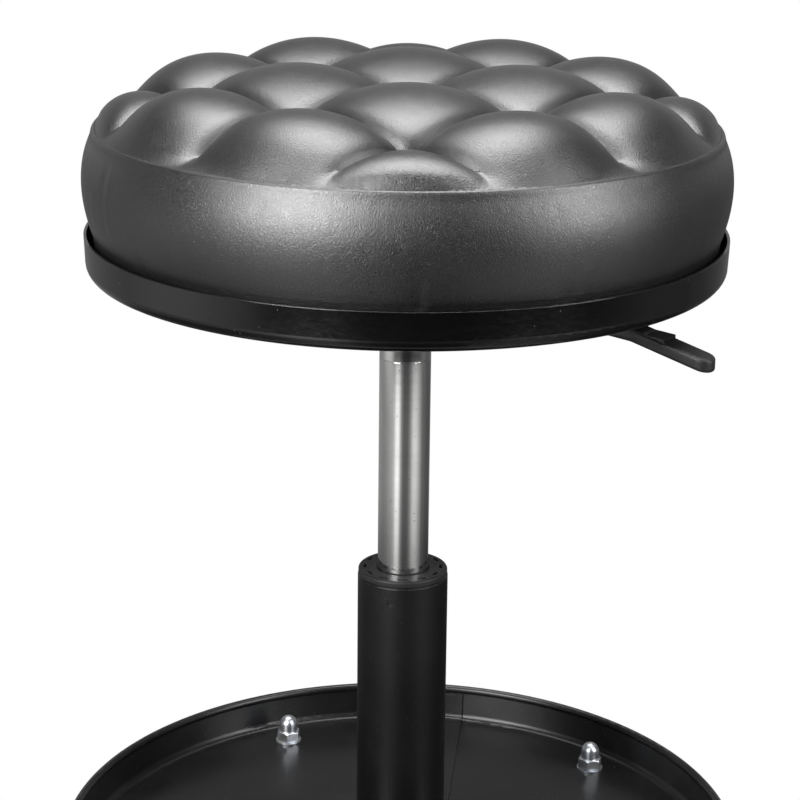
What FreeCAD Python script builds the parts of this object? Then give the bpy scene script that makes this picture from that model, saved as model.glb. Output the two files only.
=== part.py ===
import FreeCAD, Part

import math
import os
import re

import Sketcher

# A height-adjustable workshop stool with a quilted round seat, a gas lift, a round tool tray
# and five swivel casters. Millimetres, +Z up. The origin lies on the floor under the column's
# axis, and the front of the stool looks towards -Y. The seat is drawn fully raised.

# Driving sizes, one group for each part of the stool. They go into the document's sheet.

SIZES = {
    "casters": {
        "caster_circle_radius": 164.0,
        "caster_first_angle": 43.8,
        "caster_step_angle": 72.0,
        "caster_rest_turn": 90.0,
        "caster_height": 66.0,
        "caster_trail": 21.0,
        "wheel_radius": 25.0,
        "wheel_width": 19.0,
        "tyre_thickness": 5.0,
        "tyre_shoulder": 3.0,
        "wheel_hub_radius": 9.0,
        "wheel_web": 6.0,
        "wheel_rim": 3.5,
        "axle_radius": 4.0,
        "axle_head_radius": 6.5,
        "axle_head_height": 2.0,
        "running_gap": 0.05,
        "wheel_side_gap": 1.5,
        "fork_sheet": 2.2,
        "fork_plate_radius": 17.0,
        "fork_cheek_depth": 11.0,
        "fork_eye_radius": 8.5,
        "fork_cup_radius": 13.0,
        "fork_cup_height": 3.2,
        "stem_radius": 4.0,
        "stem_head_radius": 7.0,
        "stem_head_height": 2.4,
        "stem_thread_above_tray": 11.0,
        "race_radius": 17.0,
        "race_sheet": 2.0,
        "race_lip": 2.4,
        "swivel_gap": 0.3,
    },
    "base": {
        "arm_height": 25.0,
        "arm_sheet": 2.0,
        "arm_root_half_width": 16.0,
        "arm_tip_radius": 12.5,
        "arm_edge_radius": 2.5,
        "sleeve_wall": 4.0,
        "stem_hole_gap": 0.3,
        "hub_radius": 33.0,
        "hub_drop": 9.0,
        "hub_edge": 1.5,
    },
    "tray": {
        "tray_past_casters": 28.0,
        "tray_wall_flare": 6.5,
        "tray_depth": 22.0,
        "tray_sheet": 1.2,
        "tray_corner_radius": 4.5,
        "tray_bead_radius": 2.5,
        "tray_hole_gap": 1.0,
        "tray_seam_angle": 84.5,
        "tray_lap_half_width": 22.5,
        "tray_lap_gap": 0.2,
    },
    "tray nuts": {
        "nut_flats": 13.0,
        "nut_hex_height": 6.5,
        "nut_height": 15.0,
        "nut_dome_radius": 5.6,
        "nut_chamfer": 0.9,
        "washer_radius": 8.0,
        "washer_thickness": 1.6,
        "washer_seat_gap": 0.6,
        "washer_seat_depth": 0.4,
    },
    "column": {
        "column_radius": 25.0,
        "column_wall": 2.0,
        "column_length": 211.0,
        "column_foot_length": 44.0,
        "column_foot_taper": 1.3,
        "column_lip": 1.2,
        "column_stake_radius": 1.7,
        "column_stake_depth": 0.8,
        "column_stake_drop": 9.5,
        "column_stake_angle": -106.0,
        "column_stake_count": 3.0,
        "cap_thickness": 3.0,
        "cap_recess": 1.0,
    },
    "guide bushing": {
        "bushing_length": 62.0,
        "bushing_flange": 3.3,
        "bushing_flange_inset": 0.3,
        "bushing_slot_count": 12.0,
        "bushing_slot_radius": 21.0,
        "bushing_slot_length": 5.6,
        "bushing_slot_width": 1.8,
        "bushing_slot_depth": 2.2,
        "bushing_mouth": 1.3,
    },
    "gas lift": {
        "chamber_radius": 14.0,
        "chamber_wall": 1.5,
        "chamber_length": 226.3,
        "chamber_cone_length": 34.0,
        "chamber_cone_inset": 0.85,
        "chamber_ring_width": 0.8,
        "chamber_ring_depth": 0.25,
        "stroke": 120.0,
        "pressure_tube_radius": 11.2,
        "pressure_tube_wall": 1.0,
        "rod_radius": 5.0,
        "rod_foot_radius": 4.0,
        "gland_length": 20.0,
        "piston_length": 12.0,
        "piston_groove": 1.2,
        "piston_rest_gap": 0.4,
        "valve_length": 18.0,
        "valve_pin_radius": 2.0,
        "valve_head_radius": 3.0,
        "valve_head_height": 2.4,
        "valve_head_rise": 6.0,
        "valve_pin_depth": 14.0,
    },
    "thrust bearing": {
        "bearing_washer": 1.6,
        "bearing_radius": 14.0,
        "ball_radius": 2.2,
        "ball_circle_radius": 10.0,
        "ball_count": 8.0,
        "ball_gap": 0.05,
        "stop_height": 12.0,
        "stop_radius": 11.0,
        "stop_gap": 0.3,
        "clip_radius": 8.5,
        "clip_thickness": 1.5,
        "clip_groove_depth": 1.0,
        "rod_end_length": 3.0,
    },
    "mechanism": {
        "socket_length": 24.0,
        "socket_radius": 18.5,
        "socket_below_ring": 7.5,
        "pan_above_chamber": 15.9,
        "hat_length": 100.0,
        "hat_width": 46.0,
        "hat_depth": 33.0,
        "hat_sheet": 2.5,
        "hat_corner_radius": 6.0,
        "flange_length": 156.0,
        "flange_width": 116.0,
        "flange_corner_radius": 12.0,
        "bolt_spacing_long": 130.0,
        "bolt_spacing_short": 90.0,
        "bolt_hole_gap": 0.3,
        "lever_angle": -35.0,
        "lever_bar_thickness": 4.0,
        "lever_bar_width": 12.0,
        "lever_tail": 9.0,
        "lever_pivot_offset": 36.0,
        "lever_pivot_rise": 1.2,
        "lever_eye_radius": 5.0,
        "lever_pin_radius": 2.5,
        "lever_pin_end": 2.5,
        "lever_pin_head_radius": 4.2,
        "lever_rest_gap": 0.35,
        "lever_straight": 50.0,
        "lever_reach": 160.0,
        "lever_droop": 6.6,
        "lever_slot_side_gap": 1.5,
        "lever_slot_below": 3.0,
    },
    "lever grip": {
        "grip_start": 112.0,
        "grip_bend": 141.0,
        "grip_end": 185.0,
        "grip_drop": 9.8,
        "grip_thickness": 7.0,
        "grip_neck_thickness": 6.2,
        "grip_width": 13.0,
        "grip_neck_width": 14.4,
        "grip_edge_radius": 1.4,
    },
    "seat pan": {
        "pan_radius": 170.0,
        "pan_lip": 0.8,
        "pan_depth": 20.5,
        "pan_sheet": 1.5,
        "pan_corner_radius": 5.0,
        "pan_hole_radius": 24.0,
    },
    "seat board and bolts": {
        "board_radius": 159.0,
        "board_thickness": 12.0,
        "board_rise": 1.4,
        "bolt_radius": 3.0,
        "bolt_head_flats": 10.0,
        "bolt_head_height": 4.0,
        "bolt_washer_radius": 6.5,
        "bolt_washer_thickness": 1.4,
        "tee_barrel_radius": 4.4,
        "tee_flange_radius": 9.0,
        "tee_flange_thickness": 1.3,
        "tee_barrel_length": 9.0,
    },
    "cushion": {
        "cushion_foot_radius": 165.0,
        "cushion_waist_radius": 170.4,
        "cushion_waist_height": 29.0,
        "cushion_seam_radius": 163.5,
        "cushion_seam_height": 54.0,
        "cushion_shoulder_radius": 137.0,
        "cushion_shoulder_height": 79.0,
        "cushion_crown_height": 82.0,
        "cushion_crown_radius": 64.0,
        "cushion_side_radius": 46.0,
        "cushion_foot_fillet": 5.0,
        "cover_side": 2.5,
        "cover_turn_in": 30.0,
        "foam_height": 49.0,
        "foam_edge_radius": 8.0,
        "tuft_pitch_across": 61.0,
        "tuft_pitch_deep": 65.0,
        "tuft_first_deep": -35.0,
        "tuft_dome_radius": 112.0,
        "tuft_top_height": 80.5,
        "tuft_top_drop": 4.8,
    },
}

# Places worked out from the sizes above, named so that pieces that meet share one formula.

PLACES = {
    "hub_bottom": "caster_height - hub_drop",
    "arm_top": "caster_height + arm_height",
    "tray_floor": "arm_top + tray_sheet",
    "tray_rim": "tray_floor + tray_depth",
    "tray_radius": "caster_circle_radius + tray_past_casters",
    "tray_floor_radius": "tray_radius - tray_wall_flare",
    "washer_seat": "tray_floor - washer_seat_depth",
    "column_bottom": "hub_bottom",
    "column_top": "column_bottom + column_length",
    "column_bore": "column_radius - column_wall",
    "column_foot_radius": "column_radius - column_foot_taper",
    "cap_bottom": "column_bottom + cap_recess",
    "cap_top": "cap_bottom + cap_thickness",
    "lower_race_top": "cap_top + bearing_washer",
    "upper_race_bottom": "lower_race_top + 2 * ball_radius + 2 * ball_gap",
    "upper_race_top": "upper_race_bottom + bearing_washer",
    "stop_top": "upper_race_top + stop_height",
    "chamber_low": "stop_top + stop_gap",
    "chamber_bottom": "chamber_low + stroke",
    "chamber_top": "chamber_bottom + chamber_length",
    "chamber_bore": "chamber_radius - chamber_wall",
    "cone_start": "chamber_top - chamber_cone_length",
    "cone_top_radius": "chamber_radius - chamber_cone_inset",
    "gland_top": "chamber_bottom + gland_length",
    "piston_bottom": "gland_top + piston_rest_gap",
    "piston_top": "piston_bottom + piston_length",
    "pressure_tube_bore": "pressure_tube_radius - pressure_tube_wall",
    "valve_bottom": "chamber_top - valve_length",
    "valve_head_top": "chamber_top + valve_head_rise",
    "socket_bottom": "cone_start + socket_below_ring",
    "socket_top": "socket_bottom + socket_length",
    "cone_slope": "chamber_cone_inset / chamber_cone_length",
    "pan_bottom": "chamber_top + pan_above_chamber",
    "pan_floor": "pan_bottom + pan_sheet",
    "pan_rim": "pan_bottom + pan_depth",
    "flange_bottom": "pan_bottom - hat_sheet",
    "hat_bottom": "pan_bottom - hat_depth",
    "lever_under": "valve_head_top + lever_rest_gap",
    "lever_over": "lever_under + lever_bar_thickness",
    "lever_pivot_height": "lever_under + lever_pivot_rise",
    "board_bottom": "pan_floor + board_rise",
    "board_top": "board_bottom + board_thickness",
    "seam_level": "pan_rim + cushion_seam_height",
    "waist_level": "pan_rim + cushion_waist_height",
    "foam_top": "pan_rim + foam_height",
    "fork_top": "caster_height - race_sheet - swivel_gap - fork_cup_height",
    "fork_plate_bottom": "fork_top - fork_sheet",
    "fork_inner_half": "wheel_width / 2 + wheel_side_gap",
    "fork_outer_half": "fork_inner_half + fork_sheet",
    "stem_head_top": "fork_plate_bottom - swivel_gap",
    "rim_outer": "wheel_radius - tyre_thickness",
    "stem_top": "washer_seat + stem_thread_above_tray",
    "stem_hole_radius": "stem_radius + stem_hole_gap",
    "tray_hole_radius": "column_radius + tray_hole_gap",
    "tray_wall_top": "tray_radius - tray_bead_radius - tray_sheet / 2",
    "tray_slope": "(tray_wall_top - tray_floor_radius) / (tray_depth - tray_bead_radius)",
    "tray_lap_top": "tray_rim - 2 * tray_bead_radius - tray_lap_gap",
    "tray_lap_reach": "tray_lap_half_width + 2 * tray_sheet",
    "foam_radius": "cushion_foot_radius - cover_side",
    "axle_half_length": "fork_outer_half + axle_head_height",
}

FULL_TURN = 360.0
QUARTER_TURN = 90.0

doc = FreeCAD.newDocument("creeper_seat")
sheet = doc.addObject("Spreadsheet::Sheet", "Sizes")
all_sizes = {name: number for group in SIZES.values() for name, number in group.items()}


def fill_sheet():
    """Write each group of sizes into the sheet, one size in a row, under its own alias."""
    row = 0
    for group, sizes in SIZES.items():
        row += 1
        sheet.set(f"A{row}", group)
        for name, number in sizes.items():
            row += 1
            sheet.set(f"A{row}", name.replace("_", " "))
            sheet.set(f"B{row}", str(number))
            sheet.setAlias(f"B{row}", name)
    doc.recompute()


def formula(text):
    """Turn a sum of named sizes and places into an expression on the sheet."""
    def spelled_out(match):
        word = match.group(0)
        if word in PLACES:
            return "(" + formula(PLACES[word]) + ")"
        return f"Sizes.{word}" if word in all_sizes else word
    return re.sub(r"[a-z_]+", spelled_out, text)


def number_of(text):
    """The present value of a formula."""
    return float(sheet.evalExpression(formula(text)))


def bind(thing, path, text):
    """Tie one property of an object to a formula."""
    thing.setExpression(path, formula(text))


# Sketches. An outline is a list of corners (x, y) or (x, y, radius of the rounded corner).

def origin_plane(body, role):
    """The plane of a body's own origin with this role."""
    return next(item for item in body.Origin.OriginFeatures if item.Role == role)


def new_sketch(body, role, offset=None):
    """A sketch on one of the body's origin planes, moved along its normal by a formula."""
    sketch = body.newObject("Sketcher::SketchObject", f"{body.Name}_sketch")
    sketch.AttachmentSupport = [(origin_plane(body, role), "")]
    sketch.MapMode = "FlatFace"
    if offset:
        bind(sketch, "AttachmentOffset.Base.z", offset)
    return sketch


def hold(sketch, kind, where, text):
    """Constrain a point, or a radius, to a formula."""
    found = number_of(text)
    if kind == "Radius":
        index = sketch.addConstraint(Sketcher.Constraint(kind, where, found))
    else:
        index = sketch.addConstraint(Sketcher.Constraint(kind, -1, 1, where[0], where[1], found))
    if text != "0":
        sketch.setExpression(f"Constraints[{index}]", formula(text))


def rounded_corner(before, corner, after, radius):
    """Where a fillet of this radius leaves both sides of a corner, and its middle."""
    to_before = (before - corner).normalize()
    to_after = (after - corner).normalize()
    half = to_before.getAngle(to_after) / 2
    run = radius / math.tan(half)
    bisector = (to_before + to_after).normalize()
    centre = corner + bisector * (radius / math.sin(half))
    return corner + to_before * run, corner + to_after * run, centre


def draw_outline(sketch, corners):
    """A closed outline of lines through the corners, with the arcs of the rounded ones."""
    spots = [FreeCAD.Vector(number_of(c[0]), number_of(c[1]), 0) for c in corners]
    count = len(corners)
    starts, ends, arcs = list(spots), list(spots), {}
    for i, corner in enumerate(corners):
        if len(corner) == 3:
            radius = number_of(corner[2])
            come, leave, centre = rounded_corner(spots[i - 1], spots[i], spots[(i + 1) % count], radius)
            ends[i], starts[i] = come, leave
            arcs[i] = (come, leave, centre, radius)
    lines = [sketch.addGeometry(Part.LineSegment(starts[i], ends[(i + 1) % count]), False)
             for i in range(count)]
    for i, corner in enumerate(corners):
        before, after = lines[i - 1], lines[i]
        if i not in arcs:
            sketch.addConstraint(Sketcher.Constraint("Coincident", before, 2, after, 1))
            hold(sketch, "DistanceX", (after, 1), corner[0])
            hold(sketch, "DistanceY", (after, 1), corner[1])
            continue
        come, leave, centre, radius = arcs[i]
        middle = centre + (spots[i] - centre).normalize() * radius
        arc = sketch.addGeometry(Part.Arc(come, middle, leave), False)
        first = sketch.getPoint(arc, 1)
        entry, exit_end = (1, 2) if first.distanceToPoint(come) < first.distanceToPoint(leave) else (2, 1)
        point = sketch.addGeometry(Part.Point(spots[i]), True)
        hold(sketch, "DistanceX", (point, 1), corner[0])
        hold(sketch, "DistanceY", (point, 1), corner[1])
        sketch.addConstraint(Sketcher.Constraint("PointOnObject", point, 1, before))
        sketch.addConstraint(Sketcher.Constraint("PointOnObject", point, 1, after))
        sketch.addConstraint(Sketcher.Constraint("Tangent", before, 2, arc, entry))
        sketch.addConstraint(Sketcher.Constraint("Tangent", after, 1, arc, exit_end))
        hold(sketch, "Radius", arc, corner[2])


def draw_circle(sketch, x, y, radius):
    """A circle with its centre and radius tied to formulas."""
    centre = FreeCAD.Vector(number_of(x), number_of(y), 0)
    circle = sketch.addGeometry(Part.Circle(centre, FreeCAD.Vector(0, 0, 1), number_of(radius)), False)
    hold(sketch, "DistanceX", (circle, 3), x)
    hold(sketch, "DistanceY", (circle, 3), y)
    hold(sketch, "Radius", circle, radius)


# Features.

def new_body(name):
    """A body whose label is the node's name."""
    body = doc.addObject("PartDesign::Body", name)
    body.Label = name
    return body


def turn(body, corners, kind="Revolution"):
    """Revolve an outline drawn on the XZ plane about the Z axis."""
    sketch = new_sketch(body, "XZ_Plane")
    draw_outline(sketch, corners)
    feature = body.newObject(f"PartDesign::{kind}", f"{body.Name}_turn")
    feature.Profile = sketch
    feature.ReferenceAxis = (sketch, ["V_Axis"])
    feature.Angle = FULL_TURN
    doc.recompute()
    return feature


def turned(name, corners):
    """A round piece on the Z axis, from the half outline of its section."""
    body = new_body(name)
    turn(body, corners)
    return body


def turned_on_axle(name, corners):
    """A round piece on a caster's axle, from a half outline (across, out from the axle)."""
    body = new_body(name)
    sketch = new_sketch(body, "YZ_Plane", "caster_trail")
    draw_outline(sketch, [(x, f"wheel_radius + {y}") + tuple(rest) for x, y, *rest in corners])
    near = FreeCAD.Vector(0, number_of("wheel_radius"), 0)
    far = near + FreeCAD.Vector(number_of("axle_radius"), 0, 0)
    axis = sketch.addGeometry(Part.LineSegment(near, far), True)
    sketch.addConstraint(Sketcher.Constraint("Horizontal", axis))
    hold(sketch, "DistanceX", (axis, 1), "0")
    hold(sketch, "DistanceY", (axis, 1), "wheel_radius")
    hold(sketch, "DistanceX", (axis, 2), "axle_radius")
    feature = body.newObject("PartDesign::Revolution", f"{body.Name}_turn")
    feature.Profile = sketch
    feature.ReferenceAxis = (sketch, ["Axis0"])
    feature.Angle = FULL_TURN
    doc.recompute()
    return body


def extrude(body, kind, role, draw, length, offset=None, midplane=False, reverse=False):
    """Pad or pocket the drawing on an origin plane by a formula's length."""
    sketch = new_sketch(body, role, offset)
    draw(sketch)
    feature = body.newObject(f"PartDesign::{kind}", f"{body.Name}_{kind.lower()}")
    feature.Profile = sketch
    feature.SideType = "Symmetric" if midplane else "One side"
    feature.Reversed = reverse
    bind(feature, "Length", length)
    doc.recompute()
    return feature


def pad_up(body, draw, height, level):
    """Pad a drawing of the plan upwards from a level."""
    return extrude(body, "Pad", "XY_Plane", draw, height, level)


def cut_up(body, draw, height, level):
    """Cut a drawing of the plan upwards from a level."""
    return extrude(body, "Pocket", "XY_Plane", draw, height, level, reverse=True)


def cut_down(body, draw, depth, level):
    """Cut a drawing of the plan downwards from a level."""
    return extrude(body, "Pocket", "XY_Plane", draw, depth, level)


def pad_across(body, draw, width):
    """Pad a side view, half its width to each side."""
    return extrude(body, "Pad", "XZ_Plane", draw, width, midplane=True)


def cut_across(body, draw, width):
    """Cut a side view, half its width to each side."""
    return extrude(body, "Pocket", "XZ_Plane", draw, width, midplane=True)


def outline(*corners):
    """A drawing of one outline."""
    return lambda sketch: draw_outline(sketch, corners)


def circles(*places):
    """A drawing of circles, each (x, y, radius)."""
    def draw(sketch):
        for x, y, radius in places:
            draw_circle(sketch, x, y, radius)
    return draw


def rectangle(half_x, half_y, radius=None):
    """A drawing of a rectangle round the origin, with rounded corners if a radius is given."""
    more = (radius,) if radius else ()
    return outline((f"-({half_x})", f"-({half_y})") + more, (half_x, f"-({half_y})") + more,
                   (half_x, half_y) + more, (f"-({half_x})", half_y) + more)


def hexagon(flats):
    """A drawing of a hexagon round the origin, from its size across flats."""
    half = f"{flats} / 2"
    side = f"{flats} / 2 * tan(30)"
    corner = f"{flats} / 2 / cos(30)"
    return outline((corner, "0"), (side, half), (f"-{side}", half), (f"-{corner}", "0"),
                   (f"-{side}", f"-{half}"), (side, f"-{half}"))


def ring_copies(body, feature, count):
    """Repeat a feature round the Z axis, evenly over a full turn."""
    pattern = body.newObject("PartDesign::PolarPattern", f"{body.Name}_pattern")
    pattern.Originals = [feature]
    pattern.Axis = (origin_plane(body, "Z_Axis"), [""])
    pattern.Angle = FULL_TURN
    bind(pattern, "Occurrences", count)
    body.Tip = pattern
    doc.recompute()


def fillet_where(body, test, radius):
    """Round the edges of a body that pass a test."""
    base = body.Tip
    names = [f"Edge{i + 1}" for i, edge in enumerate(base.Shape.Edges) if test(edge)]
    feature = body.newObject("PartDesign::Fillet", f"{body.Name}_fillet")
    feature.Base = (base, names)
    bind(feature, "Radius", radius)
    doc.recompute()
    return feature


def about_z(degrees):
    """A turn about the upright axis."""
    return FreeCAD.Rotation(FreeCAD.Vector(0, 0, 1), degrees)


def place(piece, x="0", y="0", angle="0"):
    """Move a piece on the floor plan and turn it about its own upright axis."""
    start = FreeCAD.Vector(number_of(x), number_of(y), 0)
    piece.Placement = FreeCAD.Placement(start, about_z(number_of(angle)))
    for path, text in (("Base.x", x), ("Base.y", y), ("Rotation.Angle", angle)):
        if text != "0":
            bind(piece, f"Placement.{path}", text)


def level(edge, height):
    """Whether an edge lies flat at this height."""
    box = edge.BoundBox
    tolerance = number_of("running_gap")
    return abs(box.ZMin - height) < tolerance and abs(box.ZMax - height) < tolerance


def bead(name, ring, radius, height):
    """A round wire bead: a torus about the Z axis."""
    torus = doc.addObject("Part::Torus", name)
    bind(torus, "Radius1", ring)
    bind(torus, "Radius2", radius)
    bind(torus, "Placement.Base.z", height)
    return torus


def joined(kind, name, pieces):
    """A boolean of several pieces: Fuse, Common or Cut of two, MultiFuse or Compound of more."""
    result = doc.addObject(f"Part::{kind}", name)
    result.Label = name
    if kind == "Compound":
        result.Links = pieces
    elif kind == "MultiFuse":
        result.Shapes = pieces
    else:
        result.Base, result.Tool = pieces
    doc.recompute()
    return result


# Base: hub, five pressed arms, and what the casters stand on.

def caster_angle(number):
    """The direction of a caster from the column."""
    return f"caster_first_angle + {number - 1} * caster_step_angle"


def caster_spot(number):
    """The place of a caster's stem on the floor plan."""
    angle = caster_angle(number)
    return f"caster_circle_radius * cos({angle})", f"caster_circle_radius * sin({angle})"


def at_caster(piece, number, turned_by="0"):
    """Stand a piece on the axis of a caster's stem."""
    x, y = caster_spot(number)
    place(piece, x, y, f"{caster_angle(number)} + {turned_by}")
    return piece


def foot_radius(height):
    """Outer radius of the column's tapered foot at a height."""
    return f"column_foot_radius + column_foot_taper * ({height} - column_bottom) / column_foot_length"


def build_hub():
    turned("hub_socket", (
        (foot_radius("hub_bottom"), "hub_bottom"),
        ("hub_radius - hub_edge", "hub_bottom"),
        ("hub_radius", "hub_bottom + hub_edge"),
        ("hub_radius", "arm_top"),
        (foot_radius("arm_top"), "arm_top"),
    ))


def arm_plan(root, tip):
    """The plan of an arm: a long taper that a round end closes."""
    return outline(("0", f"-({root})"), ("caster_circle_radius", f"-({tip})"),
                   ("caster_circle_radius", tip), ("0", root))


def build_arm(number):
    body = new_body(f"arm_{number}")
    rise = "arm_height - arm_sheet"
    pad_up(body, arm_plan("arm_root_half_width", "arm_tip_radius"), "arm_height", "caster_height")
    pad_up(body, circles(("caster_circle_radius", "0", "arm_tip_radius")),
            "arm_height", "caster_height")
    top = number_of("arm_top")
    hub = number_of("hub_radius")
    fillet_where(body, lambda edge: level(edge, top) and edge.BoundBox.XMax > hub, "arm_edge_radius")
    hollow = arm_plan("arm_root_half_width - arm_sheet", "arm_tip_radius - arm_sheet")
    cut_up(body, hollow, rise, "caster_height")
    cut_up(body, circles(("caster_circle_radius", "0", "arm_tip_radius - arm_sheet")),
            rise, "caster_height")
    cut_up(body, circles(("0", "0", "hub_radius")), "arm_height", "caster_height")
    pad_up(body, circles(("caster_circle_radius", "0", "stem_hole_radius + sleeve_wall")),
            "arm_height", "caster_height")
    cut_up(body, circles(("caster_circle_radius", "0", "stem_hole_radius")),
            "arm_height", "caster_height")
    place(body, angle=caster_angle(number))


def build_stems():
    """Threaded stems, each riveted below its fork and carrying the raceway above it."""
    stems = []
    for number in CASTERS:
        stem = turned(f"stem_{number}", (
            ("0", "stem_head_top - stem_head_height"),
            ("stem_head_radius", "stem_head_top - stem_head_height"),
            ("stem_head_radius", "stem_head_top"),
            ("stem_radius", "stem_head_top"),
            ("stem_radius", "caster_height - race_sheet"),
            ("race_radius - race_sheet", "caster_height - race_sheet"),
            ("race_radius - race_sheet", "caster_height - race_lip - race_sheet"),
            ("race_radius", "caster_height - race_lip - race_sheet"),
            ("race_radius", "caster_height"),
            ("stem_radius", "caster_height"),
            ("stem_radius", "stem_top"),
            ("0", "stem_top"),
        ))
        stems.append(at_caster(stem, number))
    joined("Compound", "caster_stems", stems)


# Casters.

def build_fork(number):
    body = new_body(f"fork_{number}")
    side = outline(
        ("-fork_cheek_depth", "fork_top"),
        ("-fork_cheek_depth", "fork_plate_bottom - fork_sheet"),
        ("caster_trail - fork_eye_radius", "wheel_radius - fork_eye_radius", "fork_eye_radius / 2"),
        ("caster_trail + fork_eye_radius", "wheel_radius - fork_eye_radius", "fork_eye_radius / 2"),
        ("fork_cheek_depth + fork_sheet", "fork_top"),
    )
    pad_across(body, side, "2 * fork_outer_half")
    pad_up(body, circles(("0", "0", "fork_plate_radius")), "fork_sheet", "fork_plate_bottom")
    slot = outline(("-fork_inner_half", "0"), ("fork_inner_half", "0"),
                   ("fork_inner_half", "fork_plate_bottom"), ("-fork_inner_half", "fork_plate_bottom"))
    extrude(body, "Pocket", "YZ_Plane", slot, "2 * (caster_trail + fork_plate_radius)", midplane=True)
    turn(body, (
        ("stem_radius + running_gap", "fork_plate_bottom"),
        ("fork_cup_radius", "fork_plate_bottom"),
        ("fork_cup_radius", "fork_top + fork_cup_height", "fork_sheet"),
        ("stem_radius + running_gap", "fork_top + fork_cup_height"),
    ))
    cut_up(body, circles(("0", "0", "stem_radius + running_gap")),
            "fork_sheet + fork_cup_height", "fork_plate_bottom")
    cut_across(body, circles(("caster_trail", "wheel_radius", "axle_radius")),
            "2 * fork_outer_half")
    at_caster(body, number, "caster_rest_turn")


def build_wheel(number):
    half = "wheel_width / 2"
    bore = "axle_radius + running_gap"
    core = turned_on_axle(f"wheel_{number}", (
        (f"-{half}", bore),
        (f"-{half}", "wheel_hub_radius"),
        ("-wheel_web / 2", "wheel_hub_radius"),
        ("-wheel_web / 2", "rim_outer - wheel_rim"),
        (f"-{half}", "rim_outer - wheel_rim"),
        (f"-{half}", "rim_outer"),
        (half, "rim_outer"),
        (half, "rim_outer - wheel_rim"),
        ("wheel_web / 2", "rim_outer - wheel_rim"),
        ("wheel_web / 2", "wheel_hub_radius"),
        (half, "wheel_hub_radius"),
        (half, bore),
    ))
    at_caster(core, number, "caster_rest_turn")
    tyre = turned_on_axle(f"tyre_{number}", (
        (f"-{half}", "rim_outer"),
        (f"-{half}", "wheel_radius", "tyre_shoulder"),
        (half, "wheel_radius", "tyre_shoulder"),
        (half, "rim_outer"),
    ))
    at_caster(tyre, number, "caster_rest_turn")


def build_axle(number):
    axle = turned_on_axle(f"axle_{number}", (
        ("-axle_half_length", "0"),
        ("-axle_half_length", "axle_head_radius"),
        ("-fork_outer_half", "axle_head_radius"),
        ("-fork_outer_half", "axle_radius"),
        ("fork_outer_half", "axle_radius"),
        ("fork_outer_half", "axle_head_radius"),
        ("axle_half_length", "axle_head_radius"),
        ("axle_half_length", "0"),
    ))
    at_caster(axle, number, "caster_rest_turn")


# Tray: two half pans with a rolled rim. The left one steps up by its own sheet and laps over
# the right one on both sides of the column, and the nuts of the arms hold both.

def tray_wall(height):
    """Inner radius of the flared wall at a height."""
    return f"tray_floor_radius + tray_slope * ({height} - tray_floor)"


def half_plane(name, low, high):
    """A slab between two distances to the right of the seam, as high as the tray."""
    slab = doc.addObject("Part::Box", name)
    bind(slab, "Length", f"({high}) - ({low})")
    bind(slab, "Width", "2 * tray_radius")
    bind(slab, "Height", "tray_rim - caster_height")
    turn_angle = f"tray_seam_angle - {QUARTER_TURN}"
    slab.Placement = FreeCAD.Placement(FreeCAD.Vector(), about_z(number_of(turn_angle)))
    bind(slab, "Placement.Base.x", f"({low}) * cos({turn_angle}) + tray_radius * sin({turn_angle})")
    bind(slab, "Placement.Base.y", f"({low}) * sin({turn_angle}) - tray_radius * cos({turn_angle})")
    bind(slab, "Placement.Base.z", "caster_height")
    bind(slab, "Placement.Rotation.Angle", turn_angle)
    return slab


def caster_drill(name, number, radius, low):
    """An upright drill at a caster, from a level up past the tray's rim."""
    drill = doc.addObject("Part::Cylinder", name)
    x, y = caster_spot(number)
    bind(drill, "Radius", radius)
    bind(drill, "Height", f"tray_rim - ({low})")
    bind(drill, "Placement.Base.x", x)
    bind(drill, "Placement.Base.y", y)
    bind(drill, "Placement.Base.z", low)
    return drill


def stem_drills(side, numbers):
    """The stems' holes in one half of the tray, each in a shallow pressed seat for its washer."""
    drills = []
    for number in numbers:
        drills.append(caster_drill(f"{side}_drill_{number}", number, "stem_hole_radius", "caster_height"))
        drills.append(caster_drill(f"{side}_seat_{number}", number, "washer_radius + washer_seat_gap",
                                   f"washer_seat + {lap_step(number)}"))
    return joined("MultiFuse", f"{side}_drills", drills)


def rimmed_pan(side):
    """The whole round pan with its bead, before it is cut in half."""
    pan = turned(f"tray_{side}_pan", (
        ("tray_hole_radius", "arm_top"),
        ("tray_floor_radius + tray_sheet", "arm_top", "tray_corner_radius + tray_sheet"),
        ("tray_wall_top + tray_sheet", "tray_rim - tray_bead_radius"),
        ("tray_wall_top", "tray_rim - tray_bead_radius"),
        ("tray_floor_radius", "tray_floor", "tray_corner_radius"),
        ("tray_hole_radius", "tray_floor"),
    ))
    middle = "tray_rim - tray_bead_radius"
    ring = bead(f"tray_{side}_bead", "tray_radius - tray_bead_radius", "tray_bead_radius", middle)
    return joined("Fuse", f"tray_{side}_whole", (pan, ring))


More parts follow.
